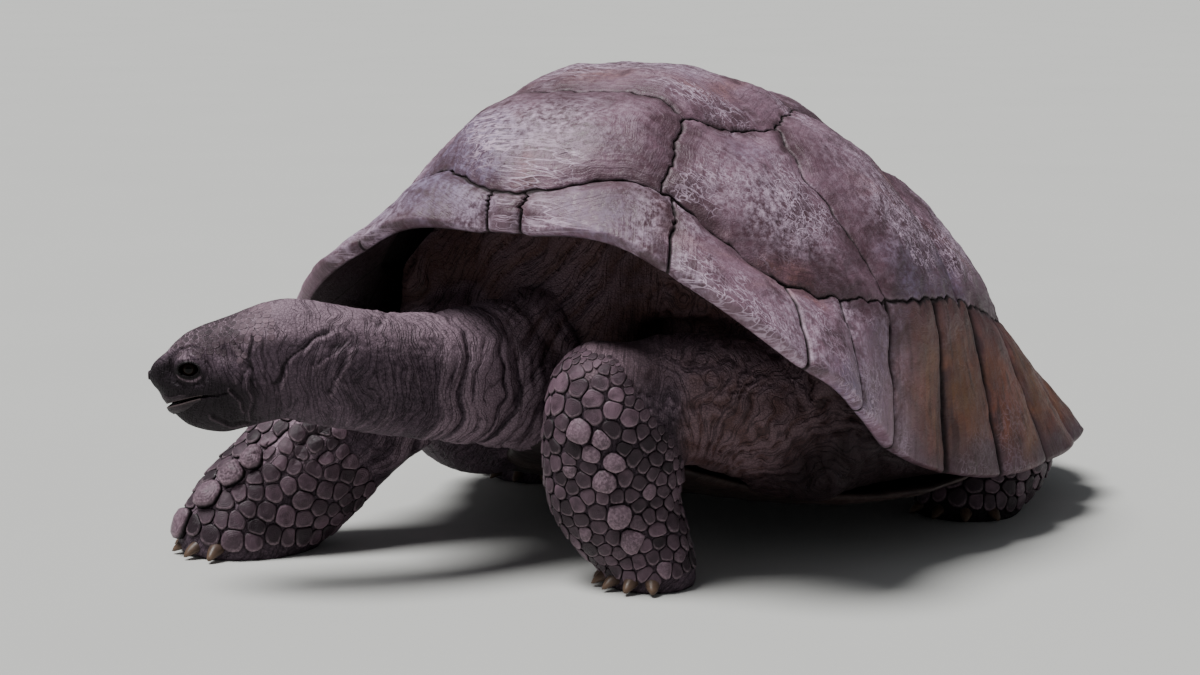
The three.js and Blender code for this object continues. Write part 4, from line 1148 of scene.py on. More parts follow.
def fold_neck(piece):
    points = points_of(piece)
    along = marks_of(piece, "along")
    down = smoothstep(along, SKULL_LENGTH, SKULL_LENGTH + 60)
    root = smoothstep(along, 370, 470)
    s = along + 10 * ripple(points, 130, 71) + 3.5 * ripple(points, 48, 72)
    s = s + 0.8 * ripple(points, 18, 73)
    fine = pleat(s, 10.5) * (0.3 + 0.75 * root) * patches(points, 60, 74, -0.6, 0.8)
    middle = pleat(s, 23, 0.5) * (0.45 + 1.9 * root) * patches(points, 90, 75, -0.9, 0.5)
    heavy = pleat(s + 12, 64) * (0.5 + 3.6 * root)
    lift = (fine + middle + heavy) * down + 0.4 * ripple(points, 12, 76) * down
    move_points(piece, points + normals_of(piece) * lift[:, None])
    depth = np.clip((fine + 0.7 * middle + 0.25 * heavy) * down, -1, 1)
    mark(piece, "fold", marks_of(piece, "fold") + depth * 0.8)
    mark(piece, "sweep", s)


fold_neck(head)
print("points of head and neck:", len(head.data.vertices))

# %% [markdown]
# ## One skin
#
# The neck is joined to the body by a boolean, which keeps the fine faces of the head, and the crease
# where the two meet is smoothed until it reads as a fold. After that the loose skin of the shoulders
# and armpits gets its own folds, which hang from the shell and gather behind the leg.

# %% Join head and body
NEAR_BOTH = 0.016
neck_tree, body_tree = tree_of(head), tree_of(body)
for name in ("fold", "cleft", "along", "sweep"):
    if name not in body.data.attributes:
        mark(body, name, np.zeros(len(body.data.vertices)))
modify(head, "BOOLEAN", operation="UNION", object=body, solver="MANIFOLD")
bpy.data.objects.remove(body)
skin = rename(head, "skin")


def near_both(points):
    """1 where the surfaces of neck and body meet, fading to 0 a little way off."""
    found = np.zeros(len(points))
    for index, point in enumerate(to_scene(points)):
        if -520 < points[index, 1] < -200:
            gaps = [tree.find_nearest(Vector(point), NEAR_BOTH)[3] for tree in (neck_tree, body_tree)]
            if None not in gaps:
                found[index] = 1 - max(gaps) / NEAR_BOTH
    return found


smooth_where(skin, near_both(points_of(skin)) * 2, 14)
report(skin)

# %% Folds of the body
ARMPIT_SEEN_RIGHT, ARMPIT_Z = -66.0, 112.0


def sagging_folds(points):
    """Folds of the loose skin: the drape at the neck's root, the fan of the armpit, the knee's arcs."""
    _, y, z = points.T
    seen_right = points @ SIDEWAYS
    front = fade(y, -330, -240) * smoothstep(z, 90, 140)
    s = (seen_right * 0.80 - z * 0.60) + 8 * ripple(points, 150, 81) + 3 * ripple(points, 60, 82)
    s += 0.8 * ripple(points, 20, 83)
    drape = 3.4 * pleat(s, 33, 0.55) * patches(points, 160, 84, -1.2, 0.6)
    crinkle = 1.2 * pleat(s, 18) * patches(points, 70, 85, -0.7, 0.7)
    pocket = smoothstep(seen_right, -180, -90) * fade(y, -240, -120) * smoothstep(z, 70, 120)
    rise, run = z - ARMPIT_Z, seen_right - ARMPIT_SEEN_RIGHT
    distance = np.hypot(run, rise)
    fan = np.arctan2(rise, run) * 120 + 13 * ripple(points, 90, 86) + 4 * ripple(points, 34, 87)
    gather = 2.8 * pleat(fan, 19) * smoothstep(distance, 15, 70)
    gather *= patches(points, 80, 88, -0.9, 0.6)
    pinch = 1.2 * pleat(distance + 5 * ripple(points, 60, 89), 26)
    knee = z + 0.62 * seen_right + 0.0016 * (seen_right + 120) ** 2 + 4 * ripple(points, 70, 90)
    arcs = 1.5 * pleat(knee, 14.5, 0.45) * patches(points, 50, 95, -1.0, 0.3)
    front *= 1 - 0.65 * pocket
    sweep = s * (1 - pocket) + fan * pocket
    return (drape + crinkle) * front, (gather + pinch) * pocket, arcs, sweep


def fold_body(piece):
    points = points_of(piece)
    along = marks_of(piece, "along")
    on_neck = smoothstep(along, 1, 5) * fade(along, 480, 560)
    leg = on_limb(points, FOREARM_LEFT, SIDEWAYS, 0.95)
    drape, gather, arcs, sweep = sagging_folds(points)
    seen_right = points @ SIDEWAYS
    knee = smoothstep(seen_right, -158, -134) * fade(seen_right, -88, -62)
    knee *= smoothstep(points[:, 2], 200, 228) * fade(points[:, 2], 290, 325)
    knee *= fade(points[:, 1], -430, -400) * (1 - on_neck)
    loose = (1 - on_neck) * (1 - leg) * (1 - knee)
    lift = (drape + gather) * loose + arcs * knee
    hind = smoothstep(points[:, 1], 60, 130) * (points[:, 2] < 330)
    wave = points[:, 2] + 6 * ripple(points, 80, 91) + 2 * ripple(points, 30, 92)
    lift += 1.2 * pleat(wave, 15) * hind * patches(points, 60, 93, -0.8, 0.6)
    lift += 0.4 * ripple(points, 16, 94) * (1 - on_neck)
    points += normals_of(piece) * lift[:, None]
    points[:, 2] = np.maximum(points[:, 2], 0.6)
    move_points(piece, points)
    depth = np.clip(lift / 3.0, -1, 1) * (1 - on_neck)
    mark(piece, "fold", marks_of(piece, "fold") + depth)
    sweep = np.where(hind > 0.5, wave, sweep)
    mark(piece, "sweep", np.where(on_neck > 0.5, marks_of(piece, "sweep"), sweep))
    recess = fade(points[:, 1], -330, -280) * smoothstep(points[:, 2], 250, 330) * (1 - on_neck)
    mark(piece, "soft", np.clip(recess + loose * (np.abs(gather) > 0.01) * 0.8, 0, 1))


def tuck_under_shell(piece):
    """The skin of thighs and shoulders drawn in wherever it would show through the shell."""
    points = points_of(piece)
    x, y, z = points.T
    back = y - DOME_CENTRE_Y
    degrees = np.degrees(np.arctan2(x, -back))
    ring_radius, ring_height, rim_radius, rim_height = (
        shell_value(column, degrees) for column in range(1, 5))
    fall = np.clip((ring_height - z) / (ring_height - rim_height), 0, 1)
    limit = ring_radius + (rim_radius - ring_radius) * fall - 36 - np.clip(z - ring_height, 0, None)
    covered = ((y > -60) & (z > 125)) | ((x < -200) & (y > -400) & (z > 290))
    share = np.where(covered, np.minimum(1, limit / np.hypot(x, back)), 1)
    points[:, 0] = x * share
    points[:, 1] = DOME_CENTRE_Y + back * share
    move_points(piece, points)
    print("points drawn in:", int((share < 1).sum()))


def shade_skin(piece):
    """Dust and painted top light, above 0, painted shade about the jaws, below 0, and painted shade
    under the shell.
    """
    points = points_of(piece)
    a, _, h = in_head(points)
    along = marks_of(piece, "along")
    head_part = (along > 0) * fade(along, 200, 300)
    # paler on faces that look up, in front of the shell: dust and painted top light
    pale = 0.75 * smoothstep(normals_of(piece)[:, 2], 0.1, 0.85) * fade(points[:, 1], -330, -280)
    ridge = bell(h - 30 + 0.22 * (a + 50), 9) * smoothstep(-a, 45, 75) * head_part
    # darker about the jaws and underneath: painted shade, on skin that is darker there as well
    dark = head_part * smoothstep(-h + 0.25 * a, -22, 12) * smoothstep(a, -150, -40)
    mark(piece, "pale", np.clip(pale + 0.45 * ridge - 1.1 * dark, -1, 1))
    seen_right, z = points @ SIDEWAYS, points[:, 2]
    under_shell = smoothstep(seen_right, 20, 150) * smoothstep(points[:, 1], -400, -250)
    low = smoothstep(-z, -230, -110) * smoothstep(points[:, 1], -420, -300)
    low = low * smoothstep(seen_right, -130, -60)
    mark(piece, "shade", np.clip(under_shell + 0.7 * low, 0, 1))


fold_body(skin)
tuck_under_shell(skin)
shade_skin(skin)
report(skin)

# %% Thin out the mesh that nobody sees
def hidden_faces(points):
    x, y, z = points.T
    inside = (z > 172) & (y > -232)
    return inside | ((z < 135) & (np.abs(x) < 215) & (y > -300) & (y < 400))


def scaled_faces(points):
    """The skin right under the scales of the legs, which needs no fine mesh."""
    legs = on_limbs(points, (0.55, 0.45, 0.6, 0.6))
    return (legs > 0.9) & (points[:, 2] < 210) & ~hidden_faces(points)


def hind_faces(points):
    """The hind legs and the tail, far back under the shell."""
    behind = (points[:, 1] > -180) & (points[:, 2] < 172)
    return behind & ~hidden_faces(points) & ~scaled_faces(points)


for test, ratio in ((hidden_faces, 0.05), (scaled_faces, 0.25), (hind_faces, 0.5)):
    edit_picked(skin, "VERT", test(points_of(skin)), bpy.ops.mesh.decimate, ratio=ratio)
report(skin)

# %% [markdown]
# ## Scales of the legs
#
# A tortoise's leg wears an armour of separate horny scales, packed like cobbles. Their places are
# scattered over the leg at random, each with the room it needs, and then nudged to the middle of
# their own room a few times, which is how cobbles and cells come to look even. Every scale is then
# one small closed plate: its outline stops halfway to each neighbour, its foot lies on the skin,
# and its top is a flat plate with a raised border or a dome, as it is on the real leg.

# %% Scatter scales
SCALE_COLUMNS = 16
SCALE_GAP = 0.45
SCALE_SINK = 1.6
NUDGES = 9
PATCH_WIDTH = 0.003  # of one scale on the UV map
SCALE_PROFILE = [  # reach from the middle, level from foot to top
    (1.0, 0.0), (0.985, 0.4), (0.93, 0.8), (0.8, 1.0), (0.52, 1.0), (0.26, 1.0)]


def scattered(points, radii, fixed, fixed_radii, seed, packing=0.86):
    """Choose spread-out places among points, wider apart where radii are larger."""
    random = np.random.default_rng(seed)
    chosen, sizes = [np.asarray(p, float) for p in fixed], list(fixed_radii)
    for index in random.permutation(len(points)):
        if chosen:
            gaps = np.linalg.norm(np.array(chosen) - points[index], axis=1)
            if (gaps / (np.array(sizes) + radii[index])).min() < packing:
                continue
        chosen.append(points[index])
        sizes.append(radii[index])
    chosen, sizes = np.array(chosen), np.array(sizes)
    for _ in range(NUDGES):
        owner = np.empty(len(points), int)
        for start in range(0, len(points), POINTS_AT_ONCE):
            some = slice(start, start + POINTS_AT_ONCE)
            gaps = np.linalg.norm(points[some, None] - chosen[None], axis=2) / sizes
            owner[some] = gaps.argmin(axis=1)
        for index in range(len(fixed), len(chosen)):
            mine = points[owner == index]
            if len(mine):
                chosen[index] = mine.mean(axis=0)
    return chosen, sizes


def unwrap_scales(piece, roots, shares, turns):
    """A UV map with each scale as a small patch at its root's place on the unwrapped limb."""
    reach = PATCH_WIDTH / 2 * np.asarray(shares)
    spots = np.array(roots) + np.stack([reach * np.cos(turns), reach * np.sin(turns)], -1)
    corners = np.empty(len(piece.data.loops), int)
    piece.data.loops.foreach_get("vertex_index", corners)
    layer = piece.data.uv_layers.new(name="OFBake")
    layer.data.foreach_set("uv", spots[corners].astype(np.float32).ravel())


def scale_outline(seeds, radii, middle, radius, first, second, angles):
    """How far a scale reaches at each angle: halfway to each neighbour, with rounded corners."""
    away = seeds - middle
    gaps = np.linalg.norm(away, axis=1)
    near = (gaps > 0.01) & (gaps < 2.6 * (radius + radii))
    limit = gaps[near] * radius / (radius + radii[near])
    bearing = np.arctan2(away[near] @ second, away[near] @ first)
    facing = np.cos(angles[:, None] - bearing[None])
    room = np.where(facing > 0.15, limit[None] / np.maximum(facing, 0.15), 1e3)
    outline = np.minimum(room.min(axis=1) if near.any() else 1e3, 1.5 * radius) - SCALE_GAP
    return 0.7 * outline + 0.15 * (np.roll(outline, 1) + np.roll(outline, -1))


def scale_faces(start):
    """The faces of one scale whose points begin at start, ring by ring, then its top and foot."""
    faces = []
    rings = len(SCALE_PROFILE)
    last = start + (rings - 1) * SCALE_COLUMNS
    top = last + SCALE_COLUMNS
    for k in range(SCALE_COLUMNS):
        after = (k + 1) % SCALE_COLUMNS
        for low in range(start, last, SCALE_COLUMNS):
            high = low + SCALE_COLUMNS
            faces.append((low + k, low + after, high + after, high + k))
        faces.append((last + k, last + after, top))
        faces.append((start + after, start + k, top + 1))
    return faces


def horny_scales(name, seeds, roots, radii, domed, seed, height=0.24, palest=0.7, high_tone=0.3):
    """Closed scale plates on the skin, each reaching halfway to its neighbours."""
    random = np.random.default_rng(seed)
    # leg scales above 215 to 245 mm, at the knee, are paler as painted top light; the crown passes its
    # own paler tones towards the back of the skull
    tones = random.uniform(0, palest, len(seeds)) + high_tone * smoothstep(seeds[:, 2], 215, 245)
    angles = np.arange(SCALE_COLUMNS) / SCALE_COLUMNS * 2 * np.pi
    points, faces, turns, patch_roots = [], [], [], []
    numbers = {"share": [], "tone": [], "large": [], "lower": []}
    for index, (middle, radius) in enumerate(zip(seeds, radii)):
        spot, normal, _, _ = skin_tree.find_nearest(Vector(to_scene(middle)))
        if spot is None:
            continue
        spot = from_scene(spot)
        normal = np.array(normal)
        upright = abs(normal[2]) >= 0.9
        first = np.cross(normal, SIDEWAYS if upright else UP)
        first /= np.linalg.norm(first)
        second = np.cross(normal, first)
        outline = scale_outline(seeds, radii, middle, radius, first, second, angles)
        droop = np.zeros(SCALE_COLUMNS) if upright else np.sin(angles) * -np.sign(second[2])
        ring, slopes = [], []
        for angle, reach in zip(angles, outline):
            place = spot + (first * math.cos(angle) + second * math.sin(angle)) * reach
            foot, slope, _, _ = skin_tree.find_nearest(Vector(to_scene(place)))
            ring.append(from_scene(foot))
            slopes.append(np.array(slope))
        ring, slopes = np.array(ring), np.array(slopes)
        boss = 0.2 * (domed[index] > 0.99)
        rise = radius * (height + 0.16 * domed[index] + boss) * random.uniform(0.85, 1.15)
        lean = random.normal(0, 0.06, 2)
        start = len(points)
        for share, level in SCALE_PROFILE:
            swell = 1 + 0.55 * domed[index] * max(0.0, 0.85 - share)
            top = level * rise * (swell - 0.16 * (1 - domed[index]) * (share < 0.6))
            if level == 0:
                top = -SCALE_SINK
            tip = 1 + (np.cos(angles) * lean[0] + np.sin(angles) * lean[1])
            tip = tip + 0.3 * droop * share * (level > 0)
            ways = normal * (1 - share) + slopes * share
            points.extend(spot * (1 - share) + ring * share + ways * (top * tip)[:, None])
            numbers["share"].extend([share] * SCALE_COLUMNS)
            numbers["lower"].extend(droop * share)
            turns.extend(angles)
        crown = rise * (1 + 0.42 * domed[index] - 0.16 * (1 - domed[index]))
        points += [spot + normal * crown, spot - normal * (SCALE_SINK + 1.5)]
        numbers["share"] += [0, 1]
        numbers["lower"] += [0, 0]
        turns += [0, 0]
        count = len(points) - start
        numbers["tone"] += [tones[index]] * count
        numbers["large"] += [domed[index]] * count
        patch_roots += [roots[index]] * count
        faces += scale_faces(start)
    mesh = bpy.data.meshes.new(name)
    mesh.from_pydata([tuple(p) for p in to_scene(np.array(points))], [], faces)
    piece = bpy.data.objects.new(name, mesh)
    bpy.context.scene.collection.objects.link(piece)
    for key, values in numbers.items():
        mark(piece, key, values)
    unwrap_scales(piece, patch_roots, numbers["share"], turns)
    choose(piece)
    bpy.ops.object.shade_smooth()
    report(piece)
    return piece


# %% Scales on the four legs
SCATTER_COUNT = 9000
LEFT_TUBERCLES = [
    # share along the limb, turn in degrees, radius
    (0.632, 243, 14), (0.479, 263, 14), (0.368, 268, 14), (0.281, 268, 15), (0.609, 262, 10),
    (0.564, 252, 10), (0.536, 272, 11),
]
RIGHT_TUBERCLES = [(0.263, 313, 17), (0.178, 308, 20), (0.115, 292, 18), (0.33, 316, 15)]
skin_tree = tree_of(skin)


def leg_scales(name, limb, low, high, radius_at, keep, tubercles, seed):
    random = np.random.default_rng(seed)
    shares = random.uniform(low, high, SCATTER_COUNT)
    turns = random.uniform(0, 360, SCATTER_COUNT)
    points = limb_point(*limb, shares, np.radians(turns))
    radii = radius_at(shares, turns) * random.uniform(0.86, 1.12, len(shares))
    kept = keep(shares, turns) & (points[:, 2] > 7 + radii)
    fixed, fixed_radii = [], []
    if tubercles:
        at, turn, fixed_radii = np.array(tubercles, float).T
        fixed = limb_point(*limb, at, np.radians(turn))
    seeds, sizes = scattered(points[kept], radii[kept], fixed, fixed_radii, seed)
    domed = np.clip(random.uniform(0.1, 0.95, len(seeds)), 0, 0.98)
    domed[seeds[:, 2] > 225] *= 0.5
    domed[:len(fixed)] = 1
    nearest = [np.linalg.norm(points - place, axis=1).argmin() for place in seeds]
    roots = np.stack([turns[nearest] / 360, shares[nearest]], -1)
    return horny_scales(name, seeds, roots, sizes, domed, seed)


def scale_border(shares):
    """Turn at which the scales of the forearm give way to smooth skin, at shares of its length."""
    return np.interp(
        shares, [0.42, 0.52, 0.62, 0.72, 0.82, 0.92, 0.97], [372, 345, 318, 300, 286, 272, 258])


def left_fore_radius(shares, turns):
    radii = np.interp(
        shares, [0.1, 0.35, 0.6, 0.7, 0.8, 0.88, 0.96], [9.5, 9.5, 9.5, 11.5, 10.5, 6, 4.5])
    return radii * np.interp(scale_border(shares) - turns, [0, 26], [0.5, 1.0])


def left_fore_keep(shares, turns):
    lower_turn = np.interp(shares, [0.4, 0.5, 0.66], [0, 95, 120])
    return (turns > lower_turn) & (turns < scale_border(shares))


def right_fore_radius(shares, turns):
    return np.interp(shares, [0.1, 0.5], [12.5, 10])


def right_fore_keep(shares, turns):
    return (shares < 0.5) | (turns > 200)


def hind_radius(shares, turns):
    return np.full(len(shares), 11.0)


def keep_all(shares, turns):
    return shares < 2


scales_front_left, scales_front_right, scales_rear_left, scales_rear_right = (
    leg_scales(f"scales_{name}", limb, low, high, radius_at, keep, tubercles, seed)
    for limb, (name, low, high, radius_at, keep, tubercles, seed) in zip(LIMBS, [
        ("front_left", 0.11, 0.95, left_fore_radius, left_fore_keep, LEFT_TUBERCLES, 101),
        ("front_right", 0.1, 0.6, right_fore_radius, right_fore_keep, RIGHT_TUBERCLES, 102),
        ("rear_left", 0.15, 0.62, hind_radius, keep_all, [], 103),
        ("rear_right", 0.15, 0.62, hind_radius, keep_all, [], 104),
    ]))

# %% [markdown]
# ## Scales of the head
#
# The crown is covered in small flat scales without a plan. They are made by the same two helpers.

# %% Scales of the crown
def crown_scales():
    points = points_of(skin)
    a, _, h = in_head(points)
    slope = normals_of(skin)[:, 2]
    crown = (a > -112) & (a < 42) & (slope > 0.22) & (h > 12) & (h < 90) & (points[:, 1] < -600)
    crown &= ~(((a / 22) ** 2 + (h / 21) ** 2 < 1))
    crown &= a + 14 * ripple(points, 22, 114) > -96
    crown &= h + 7 * ripple(points, 20, 115) > 20
    spots = points[crown]
    radii = np.interp(a[crown], [-110, -80, 0, 40], [2.8, 4.0, 3.6, 2.6])
    radii *= 1 + 0.25 * ripple(spots, 26, 113)
    seeds, sizes = scattered(spots, radii, [], [], 111, packing=0.9)
    print("crown scales:", len(seeds))
    a, side, h = in_head(seeds)
    roots = np.stack([0.5 + np.arctan2(side, h) / (2 * np.pi), (a + 150) / 250], -1)
    return horny_scales(
        "scales_crown", seeds, roots, sizes, np.zeros(len(seeds)), 112, height=0.09, palest=0.3,
        high_tone=0.8 * smoothstep(-a, 45, 100))


scales_crown = crown_scales()

# %% [markdown]
# ## Claws
#
# One claw is modelled at the origin: a blunt cone of horn that bends down to its tip and is flatter
# underneath. The others are copies with meshes of their own, turned and stretched to their places.

# %% Claws
FORE_CLAW, HIND_CLAW = (34.0, 12.5), (33.0, 12.0)  # length, radius
CLAW_FANS = [
    # middle of the foot, reach, heading, spread, count, size
    ((160, -491), 44, -22, 110, 5, FORE_CLAW),
    ((-420, -607), 62, -42, 105, 5, FORE_CLAW),
    ((328, 140), 62, 8, 90, 4, HIND_CLAW),
    ((-351, 50), 62, -8, 90, 4, HIND_CLAW),
]
CLAW_ROOT_INSIDE = -14.0
PATTERN_SIZE = 100
CLAW_LIFT = 3.8


def one_claw(u, v):
    turn = 2 * np.pi * u
    radius = (1 - v**2.2) ** 0.6
    flat = np.where(np.sin(turn) < 0, 0.72, 1.0)
    side = radius * (1 + 0.05 * np.cos(3 * turn)) * np.cos(turn)
    up = radius * flat * np.sin(turn)
    start = CLAW_ROOT_INSIDE / FORE_CLAW[0]
    side[v < 1e-6] = 0
    up[v < 1e-6] = 0
    return np.stack([start + (1 - start) * v, side, up], -1) * PATTERN_SIZE, {"share": v}


pattern = woven("claw_pattern", 16, 16, one_claw)
pattern_points = points_of(pattern) / PATTERN_SIZE


def claw_copy(root, aim, length, radius):
    choose(pattern)
    bpy.ops.object.duplicate()
    claw = active()
    across = np.cross(UP, aim)
    x, side, up = pattern_points.T
    droop = np.clip(x, 0, 1) ** 2 * (root[2] - radius * 0.35)
    points = root + aim * (x * length)[:, None] + across * (side * radius)[:, None]
    points[:, 2] += up * radius - droop
    points[:, 2] = np.maximum(points[:, 2], 0.5)
    move_points(claw, points)
    return claw


claws = []
for (x, y), reach, heading, spread, count, (length, radius) in CLAW_FANS:
    for k in range(count):
        angle = math.radians(heading + spread * (k / (count - 1) - 0.5))
        aim = np.array([math.sin(angle), -math.cos(angle), 0])
        root = np.array([x, y, radius + CLAW_LIFT]) + aim * reach
        claws.append(claw_copy(root, aim, length, radius))
bpy.data.objects.remove(pattern)
claws = joined(claws, "claws")
report(claws)

# %% [markdown]
# ## Eyes
#
# Each eye is a ball with a slightly fuller front, deep behind its lids. Its material reads how far a
# point lies from the middle of the gaze, for the pupil, the iris and the dark edge round it.

# %% Eyes
CORNEA_BULGE = 0.9


def eyeball(name, sign):
    def place(u, v):
        turn, tilt = 2 * np.pi * u, np.pi * v
        off = np.degrees(tilt)
        radius = EYE_RADIUS - 0.3 + CORNEA_BULGE * bell(off, 34)
        out = radius * np.cos(tilt)
        a = radius * np.sin(tilt) * np.cos(turn)
        h = radius * np.sin(tilt) * np.sin(turn)
        return head_place(a, sign * (EYE_DEPTH - 0.4 + out), h), {"gaze": off}

    return woven(name, 48, 40, place)


eyes = {"left": eyeball("eyeball_left", 1), "right": eyeball("eyeball_right", -1)}
print("eyes:", sorted(eyes))

# %% [markdown]
# ## The beak
#
# A tortoise has no teeth but a beak of horn over each jaw. Each sheath is a strip of grid pressed on
# the bare head by rays that leave the middle of the mouth, a little proud at its cutting edge and
# sinking into the skin at its border, and then given a wall.

# %% Beak
BEAK_BACK_ANGLE = 118.0
BEAK_AXIS_A = 4.0
BEAK_FIRST_A = 20.0
BEAK_TRIES = 4  # each ray starts at a better height than the one before
BEAK_COLUMNS, BEAK_ROWS = 120, 14


def beak(name, edge_of, border_of, seed):
    piece, u, v = grid(name, BEAK_COLUMNS, BEAK_ROWS)
    u = 2 * u - 1
    v = v * (1 - 0.8 * np.abs(u) ** 4)  # the sheath runs out in a point at the corner of the mouth
    turn = np.radians(BEAK_BACK_ANGLE * u)
    ways = np.cos(turn)[:, None] * HEAD_AIM + np.sin(turn)[:, None] * HEAD_SIDE
    points = np.empty((len(u), 3))
    for index, share in enumerate(v):
        a = BEAK_FIRST_A
        for _ in range(BEAK_TRIES):
            level, half = mouth_at(a)
            h = edge_of(a, level, half) * (1 - share) + border_of(a, level, half) * share
            start = head_place(BEAK_AXIS_A, 0, h)
            hit, _, _, _ = bare_tree.ray_cast(Vector(to_scene(start)), Vector(ways[index]))
            if hit is None:
                break
            place = from_scene(hit)
            a = float((place - HEAD_MIDDLE) @ HEAD_AIM)
        points[index] = place
    proud = 1.4 - 2.6 * smoothstep(v, 0.45, 1.0) - 2.2 * smoothstep(np.abs(u), 0.6, 0.95)
    proud += 0.25 * ripple(points, 9, seed)
    points += ways * proud[:, None]
    move_points(piece, points)
    mark(piece, "edge", v)
    modify(piece, "SOLIDIFY", thickness=0.0032, offset=-1.0)
    face_outwards(piece, merge=False)
    report(piece)
    return piece


upper_beak = beak(
    "upper_beak", lambda a, level, half: level + half * 0.75,
    lambda a, level, half: level + half + 9 + 20 * float(smoothstep(a, 22, 46)), 121)
lower_beak = beak(
    "lower_beak", lambda a, level, half: level - half * 0.9 - 0.6,
    lambda a, level, half: level - half - 11, 122)

# %% [markdown]
# ## Finishes
#
# Horn and hide are never one colour. Three effects are shared by the finishes, so each is built once
# as a shader group: mottling in soft patches, scratches as thin long lines in patches, and a grain of
# small pits and pebbles for relief. The finishes themselves mix these over the numbers that
# were written on the points: distance from a seam, the depth of a fold, the place on a scale.

# %% Helpers for finishes
def tint(red, green, blue):
    """A colour as it looks on a screen, 0 to 255, in the renderer's linear values."""
    shares = [value / 255 for value in (red, green, blue)]
    linear = [s / 12.92 if s <= 0.04045 else ((s + 0.055) / 1.055) ** 2.4 for s in shares]
    return (*linear, 1.0)


class Nodes:
    """Short words for building a tree of shader nodes. Inputs are values or other nodes' outputs."""

    def __init__(self, tree):
        self.tree = tree

    def feed(self, socket, value):
        if isinstance(value, bpy.types.NodeSocket):
            self.tree.links.new(value, socket)
        else:
            socket.default_value = value

    def add(self, kind, inputs=None, **settings):
        """The outputs of a new node."""
        node = self.tree.nodes.new(kind)
        for key, value in settings.items():
            setattr(node, key, value)
        for key, value in (inputs or {}).items():
            self.feed(node.inputs[key], value)
        return node.outputs

    def maths(self, operation, first, second=0.0):
        return self.add("ShaderNodeMath", {0: first, 1: second}, operation=operation)[0]

    def times(self, first, second):
        return self.maths("MULTIPLY", first, second)

    def minus(self, first, second):
        return self.maths("SUBTRACT", first, second)

    def raised(self, base, value, amount):
        """A base number and some of a value on top of it."""
        return self.maths("ADD", base, self.times(value, amount))

    def blend(self, factor, first, second):
        return self.add("ShaderNodeMix", {0: factor, 6: first, 7: second}, data_type="RGBA")[2]

    def band(self, value, start, end, low=0.0, high=1.0):
        """A smooth step of a value between start and end."""
        inputs = {0: value, 1: start, 2: end, 3: low, 4: high}
        return self.add("ShaderNodeMapRange", inputs, interpolation_type="SMOOTHSTEP")[0]

    def close_to(self, value, middle, start, end):
        """1 where a value is near its middle, and 0 further off."""
        return self.band(self.maths("ABSOLUTE", self.minus(value, middle)), start, end, 1.0, 0.0)

    def noise(self, place, scale, detail, **more):
        settings = {"noise_dimensions": "4D"} if "W" in more else {}
        inputs = {"Vector": place, "Scale": scale, "Detail": detail, **more}
        return self.add("ShaderNodeTexNoise", inputs, **settings)[0]

    def stretched(self, place, **inputs):
        return self.add("ShaderNodeMapping", {"Vector": place, **inputs})[0]

    def number(self, name):
        """A number that was written on the points of the piece."""
        return self.add("ShaderNodeAttribute", attribute_name=name)["Fac"]


# %% Shared effects
def new_group(name, results, **inputs):
    """An empty shader group: its nodes, what it is given and what it has to put out."""
    group = bpy.data.node_groups.new(name, "ShaderNodeTree")
    group.interface.new_socket(name="Place", in_out="INPUT", socket_type="NodeSocketVector")
    for label, value in inputs.items():
        socket = group.interface.new_socket(name=label, in_out="INPUT", socket_type="NodeSocketFloat")
        socket.default_value = value
    for label in results:
        group.interface.new_socket(name=label, in_out="OUTPUT", socket_type="NodeSocketFloat")
    given = group.nodes.new("NodeGroupInput").outputs
    return Nodes(group), given, group.nodes.new("NodeGroupOutput").inputs


def build_mottle():
    n, given, result = new_group("mottle", ["Patch", "Fleck"], Scale=5.0)
    wide = n.noise(given["Place"], given["Scale"], 5.0, Roughness=0.62, Distortion=0.7)
    small = n.noise(given["Place"], n.times(given["Scale"], 7.0), 4.0, Roughness=0.7)
    n.feed(result["Patch"], n.band(wide, 0.36, 0.64))
    n.feed(result["Fleck"], n.band(small, 0.35, 0.7))
    return n.tree


def build_scratches():
    n, given, result = new_group("scratches", ["Lines"], Scale=1.0)
    lines = None
    turns = [(0.3, 0.5, 0.4), (1.2, -0.3, 2.0), (-0.5, 0.9, 1.1), (0.8, 1.6, -0.7)]
    for index, turn in enumerate(turns):
        turned = n.stretched(given["Place"], Rotation=turn, Scale=(1.6, 17.0 + 3 * index, 17.0))
        noise = n.noise(turned, given["Scale"], 2.5, Distortion=0.25)
        line = n.close_to(noise, 0.5, 0.0, 0.016)
        lines = line if lines is None else n.maths("MAXIMUM", lines, line)
    patch = n.band(n.noise(given["Place"], 6.0, 3.0), 0.42, 0.6)
    n.feed(result["Lines"], n.times(lines, patch))
    return n.tree


def build_grain():
    n, given, result = new_group("grain", ["Pebbles", "Pits"], Cells=260.0, Dust=700.0)
    place = given["Place"]
    warp = n.add("ShaderNodeTexNoise", {"Vector": place, "Scale": 60.0, "Detail": 2.0})["Color"]
    moved = n.add("ShaderNodeVectorMath", {0: warp, "Scale": 0.006}, operation="SCALE")[0]
    warped = n.add("ShaderNodeVectorMath", {0: place, 1: moved}, operation="ADD")[0]
    cells = n.add(
        "ShaderNodeTexVoronoi", {"Vector": warped, "Scale": given["Cells"], "Randomness": 0.95},
        feature="DISTANCE_TO_EDGE")
    n.feed(result["Pebbles"], n.band(cells["Distance"], 0.0, 0.22))
    n.feed(result["Pits"], n.noise(place, given["Dust"], 3.0, Roughness=0.6))
    return n.tree


MOTTLE, SCRATCHES, GRAIN = build_mottle(), build_scratches(), build_grain()
print("shared effects:", [group.name for group in (MOTTLE, SCRATCHES, GRAIN)])


